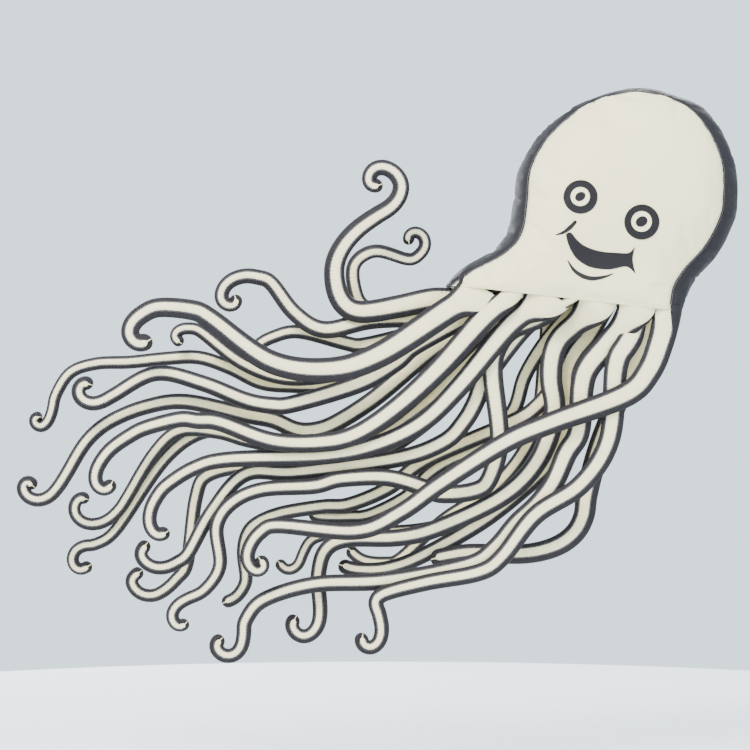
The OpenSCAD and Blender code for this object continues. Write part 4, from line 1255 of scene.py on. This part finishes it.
# Keel: a cloth fin from the back of the head to the tow eyelet, bound along its two free edges
keel = {"footLevels": (2.6, 6.4), "columns": 34, "rows": 22, "cloth": 0.0026, "ripple": 0.0028,
        "lip": [(0.0, 0.024), (0.014, 0.012), (0.014, -0.012), (0.0, -0.024)], "binding": 0.0026,
        "bindingHalf": 0.0045, "holes": [(0, 0, 0.0075), (-0.034, 0.044, 0.0050), (-0.034, -0.044, 0.0050)]}
keelEnd = evenly(np.array(keel["lip"]), keel["columns"])
keelGrid = np.zeros((keel["rows"], keel["columns"], 3))
for j, u in enumerate(np.linspace(*keel["footLevels"], keel["columns"])):
    z = skinAt(np.array([u]), np.array([math.pi / 2]))[0, 2]
    hit, normal = onHead(backTree, 0.0, float(z))
    foot = (hit - normal * 0.0006)[1:]
    for k, t in enumerate(np.linspace(0, 1, keel["rows"])):
        y, z = foot + (keelEnd[j] - foot) * t
        loose = math.sin(math.pi * min(1, t * 1.15)) ** 2 if t < 0.87 else 0.0
        x = keel["ripple"] * loose * (math.sin(z * 34 + y * 18 + 0.6) + 0.25 * math.sin(z * 95 - y * 60))
        keelGrid[k, j] = x, y, z
keelFaces, keelCorners = gridFaces(keel["rows"], keel["columns"])
fromEnds = np.minimum(np.arange(keel["columns"]), np.arange(keel["columns"])[::-1]) * 0.006
keelGap = np.minimum(np.arange(keel["rows"])[:, None] * 0.007, fromEnds)
keelMap = mapped(keelCorners, keelGrid[:, :, 1], keelGrid[:, :, 2])
keelFin = meshPiece("keelFin", keelGrid.reshape(-1, 3), keelFaces, [creamCloth], keelMap, keelGap.ravel())
keelArea = sum(p.area for p in keelFin.data.polygons)
thicken(keelFin, keel["cloth"], 0.0)
for y, z, r in keel["holes"]:
    bpy.ops.mesh.primitive_cylinder_add(vertices=40, radius=r, depth=0.02, location=(0, y, z),
                                        rotation=(0, math.pi / 2, 0))
    cutter = bpy.context.object
    cut = keelFin.modifiers.new("hole", "BOOLEAN")
    cut.operation = "DIFFERENCE"
    cut.solver = "EXACT"
    cut.object = cutter
    baked(keelFin)
    bpy.data.objects.remove(cutter)
declare(keelFin, "cream_cloth", "keel_fin")


# A flattened tube along a line, as bound tape and piping are
def tape(name, line, half, thick, normal=(1, 0, 0)):
    sides = 12
    out = np.broadcast_to(np.asarray(normal, float), line.shape)
    across = unit(np.cross(unit(np.gradient(line, axis=0)), out))
    points = []
    for t in np.linspace(0, math.tau, sides, endpoint=False):
        x, y = (math.copysign(abs(part) ** 0.6, part) for part in (math.cos(t), math.sin(t)))
        points.append(line + across * x * half + out * y * thick)
    points = np.stack(points, axis=1)
    faces, corners = gridFaces(len(line), sides, wrap=True)
    s = lengthsOf(line)
    uv = [(s[r], c * half / 3) for r, c in corners] + [(0, 0)] * (2 * sides)
    last = (len(line) - 1) * sides
    faces += [tuple(range(sides))[::-1], tuple(range(last, last + sides))]
    seam = np.full(len(line) * sides, 0.01)
    piece = meshPiece(name, points.reshape(-1, 3), faces, [charcoalCloth], uv, seam)
    facing(piece, line[len(line) // 2], len(line) // 2 * sides)
    return declare(piece, "charcoal_cloth")


keelRim = np.vstack([keelGrid[:, 0], keelGrid[-1, 1:-1], keelGrid[::-1, -1]])
keelRim = evenly(evened(keelRim, 0.002, 0.003), 200)
tape("keelBinding", keelRim, keel["bindingHalf"], keel["binding"])
pull = unit(keelGrid.reshape(-1, 3).mean(axis=0) - keelRim)
inner = keelGrid[1, 1:-1]
keelLines = []
for x in (1.0, -1.0):
    side = np.array([x, 0, 0])
    keelLines.append((keelRim + pull * 0.0025 + side * keel["binding"], np.tile(side, (len(keelRim), 1))))
    keelLines.append((inner + side * keel["cloth"] / 2, np.tile(side, (len(inner), 1))))
declare(stitches("keelStitches", keelLines, greyThread, Pitch=0.0050, Length=0.0036, Radius=0.0006, Seed=11))


# A copy of a flat cloth solid with its own weave, a little crumpled
def clothCopy(name, node, material, slot, crumple=0.0, trim=1.0):
    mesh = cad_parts[node].data.copy()
    made = linked(name, mesh)
    mesh.name = name
    mesh.materials.clear()
    mesh.materials.append(material)
    while mesh.uv_layers:
        mesh.uv_layers.remove(mesh.uv_layers[0])
    layer = mesh.uv_layers.new(name="cloth")
    for loop in mesh.loops:
        p = mesh.vertices[loop.vertex_index].co
        layer.uv[loop.index].vector = (p.x + p.y * 0.31, p.z + p.y)
    middle = sum((v.co for v in mesh.vertices), Vector()) / len(mesh.vertices)
    for v in mesh.vertices if crumple else ():
        v.co = middle + (v.co - middle) * trim
        v.co.z += crumple * math.sin(v.co.x * 60) * math.sin(v.co.y * 50)
    declare(made, slot, node)


clothCopy("keelPatches", "keel_patches", *dark)

# Stitching round the keel's patches: a circle, less what runs off the fin's edges
patchRing = []
ring = disc((-0.012, 0.0), 0.0265, count=60)
ring = ring[(np.abs(ring[:, 1]) < 0.0195) & (ring[:, 0] < 0.010)]
ring = ring[np.argsort(np.arctan2(ring[:, 1], ring[:, 0] + 0.012) % math.tau)]
breaks = np.flatnonzero(np.linalg.norm(np.diff(ring, axis=0), axis=1) > 0.006) + 1
for x in (1.0, -1.0):
    for part in np.split(ring, breaks):
        if len(part) > 2:
            line = np.column_stack([np.full(len(part), x * 0.0027), part])
            patchRing.append((line, np.tile([x, 0, 0], (len(part), 1))))
declare(stitches("keelPatchStitches", patchRing, creamThread, Pitch=0.0042, Length=0.0030,
                 Radius=0.0005, Seed=5))
clothCopy("hemFacing", "hem_facing", *pale, 0.0004, 0.975)
clothCopy("upperRib", "upper_rib", *pale, 0.0008, 0.95)
clothCopy("lowerRib", "lower_rib", *pale, 0.0008, 0.95)
clothCopy("rodSleeve", "rod_sleeve", *pale)
print("stage: keel and inner cloth")

# Bound ring where the inlet's collar leaves the cloth
ringTurn = np.linspace(0, math.tau, 121)
ringFlat = np.array(inlet["at"]) + inlet["radius"] * np.column_stack([np.cos(ringTurn), np.sin(ringTurn)])
ringLine, ringOut = np.array([onHead(backTree, float(x), float(z)) for x, z in ringFlat]).swapaxes(0, 1)
ringLine = ringLine + ringOut * 0.0012
tape("inletBinding", ringLine[:-1], inlet["half"], inlet["thick"], ringOut[:-1])
radial = unit(ringLine - ringLine[:-1].mean(axis=0))
inletLines = [(ringLine + radial * gap + ringOut * inlet["thick"], ringOut) for gap in (0.003, -0.003)]
declare(stitches("inletStitches", inletLines, creamThread, Pitch=0.0046, Length=0.0033,
                 Radius=0.00055, Seed=21))

# Dump zip: woven tape with a coil of small teeth, both square to the solid tape
tapeAlong, tapeAcross = np.linspace(-0.5, 0.5, 46) * zipper["length"], np.linspace(-0.5, 0.5, 9)
tapeGrid = np.array([[onZip(x * zipper["width"], 0.0001 - 0.0010 * abs(2 * x) ** 4
                            * (1 + 0.4 * math.sin(z * 150 + x * 30 * zipper["width"])), z)
                      for x in tapeAcross] for z in tapeAlong])
tapeFaces, tapeCorners = gridFaces(46, 9)
zipTape = meshPiece("zipTape", tapeGrid.reshape(-1, 3), tapeFaces, [webbing],
                    [(r * 0.004, c * 0.00375) for r, c in tapeCorners], np.full(46 * 9, 0.01))
facing(zipTape, zipAt - zipY)
tapeArea = sum(p.area for p in zipTape.data.polygons)
thicken(zipTape, 0.0010)
declare(zipTape, "zip_web", "zip_tape")


def zipLine(xs, y, zs):
    line = np.array([onZip(x, y, z) for x, z in zip(*np.broadcast_arrays(xs, zs))])
    return line, np.tile(zipY, (len(line), 1))


zipLines = [zipLine(x, 0.0002, np.linspace(-0.086, 0.086, 60)) for x in (-0.0125, -0.0105, 0.0105, 0.0125)]
declare(stitches("zipStitches", zipLines, greyThread, Pitch=0.0044, Length=0.0031, Radius=0.0005, Seed=31))
toothLines = [zipLine(x, 0.0012, np.linspace(-zipper["coil"] / 2 + shift, zipper["coil"] / 2, 80))
              for x, shift in ((-0.0013, 0), (0.0013, zipper["toothPitch"] / 2))]
zipCoil = stitches("zipCoil", toothLines, teethPlastic, Pitch=zipper["toothPitch"], Length=0.0012,
                   Radius=0.00105, Jitter=0.02, Seed=41)
declare(zipCoil, "zip_teeth", "zip_coil")
zipEnds = [tape(f"zipEnd{z}", zipLine(np.linspace(-0.0135, 0.0135, 14), 0.0008, z)[0], 0.0035, 0.0010, zipY)
           for z in (-0.0865, 0.0865)]
joined("zipEnds", zipEnds)
print("stage: inlet and zip")

# The hard parts keep their solids and take real finishes
for node, material in (("tow_eyelet", brass), ("trim_eyelets", brass), ("inlet_collar", collarPlastic),
                       ("inlet_mesh", netting), ("zip_slider", zipMetal), ("zip_pull", zipMetal),
                       ("spreader_rod", glassFibre), ("rod_caps", capRubber)):
    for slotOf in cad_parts[node].material_slots:
        slotOf.material = material


# The flat piece that a sheet is cut from holds its area, and is not much larger than it
def fit(area, wide, long):
    if area > wide * long:
        wide = area / long * 1.0005
    if area < 0.31 * wide * long:
        wide = area / (0.32 * long)
    return {"flat": (wide, long), "area": area}


for piece, cut in ((frontPanel, fit(frontArea, *frontSize)), (backPanel, fit(backArea, *backSize)),
                   (leftGusset, fit(leftArea, *leftSize)), (rightGusset, fit(rightArea, *rightSize)),
                   (crownCap, fit(crownArea, 0.30, 0.22)), (basePanel, fit(baseArea, 0.71, 0.31)),
                   (keelFin, fit(keelArea, 0.16, 0.36)),
                   (zipTape, fit(tapeArea, zipper["width"], zipper["length"]))):
    print("sheet", piece.name, [round(v, 4) for v in cut["flat"]], round(cut["area"], 4))

# Floor, light and camera
studio = {"floor": -1.75, "radius": 3.0, "target": Vector((-0.735, -0.30, -0.575)), "distance": 9.0,
          "span": 2.25, "sky": (0.72, 0.85, 0.95, 1), "skyPower": 2.0}
bpy.ops.mesh.primitive_circle_add(vertices=96, radius=studio["radius"], fill_type="NGON",
                                  location=(-0.7, 0.0, studio["floor"]))
floor = bpy.context.object
floor.name = "floor"
floor.data.materials.append(blank("floorPaint", Roughness=0.85, Base_Color=(0.82, 0.84, 0.85, 1))[0])
world = bpy.data.worlds.new("studio")
bpy.context.scene.world = world
world.use_nodes = True
sky = world.node_tree.nodes["Background"].inputs
sky[0].default_value = studio["sky"]
sky[1].default_value = studio["skyPower"]


def lamp(name, place, size, power, colour):
    light = bpy.data.lights.new(name, "AREA")
    light.shape = "DISK"
    light.size = size
    light.energy = power
    light.color = colour
    made = linked(name, light)
    made.location = place
    made.rotation_mode = "QUATERNION"
    made.rotation_quaternion = (studio["target"] - Vector(place)).to_track_quat("-Z", "Y")


lamp("keyLight", (-3.2, -4.2, 3.2), 2.2, 620, (1.0, 0.97, 0.92))
lamp("fillLight", (3.6, -4.6, 0.8), 3.0, 220, (0.92, 0.96, 1.0))
lamp("rimLight", (1.2, 3.6, 2.6), 2.0, 260, (1.0, 1.0, 1.0))
lamp("backFill", (-3.0, 3.8, 0.6), 2.6, 200, (0.95, 0.97, 1.0))

lens = bpy.data.cameras.new("camera")
lens.sensor_width = 36
lens.lens = lens.sensor_width * studio["distance"] / studio["span"]
lens.clip_end = 60
camera = linked("camera", lens)
camera.location = studio["target"] - Vector((0, studio["distance"], 0))
camera.rotation_euler = (math.pi / 2, 0, 0)
bpy.context.scene.camera = camera
print("stage: studio")
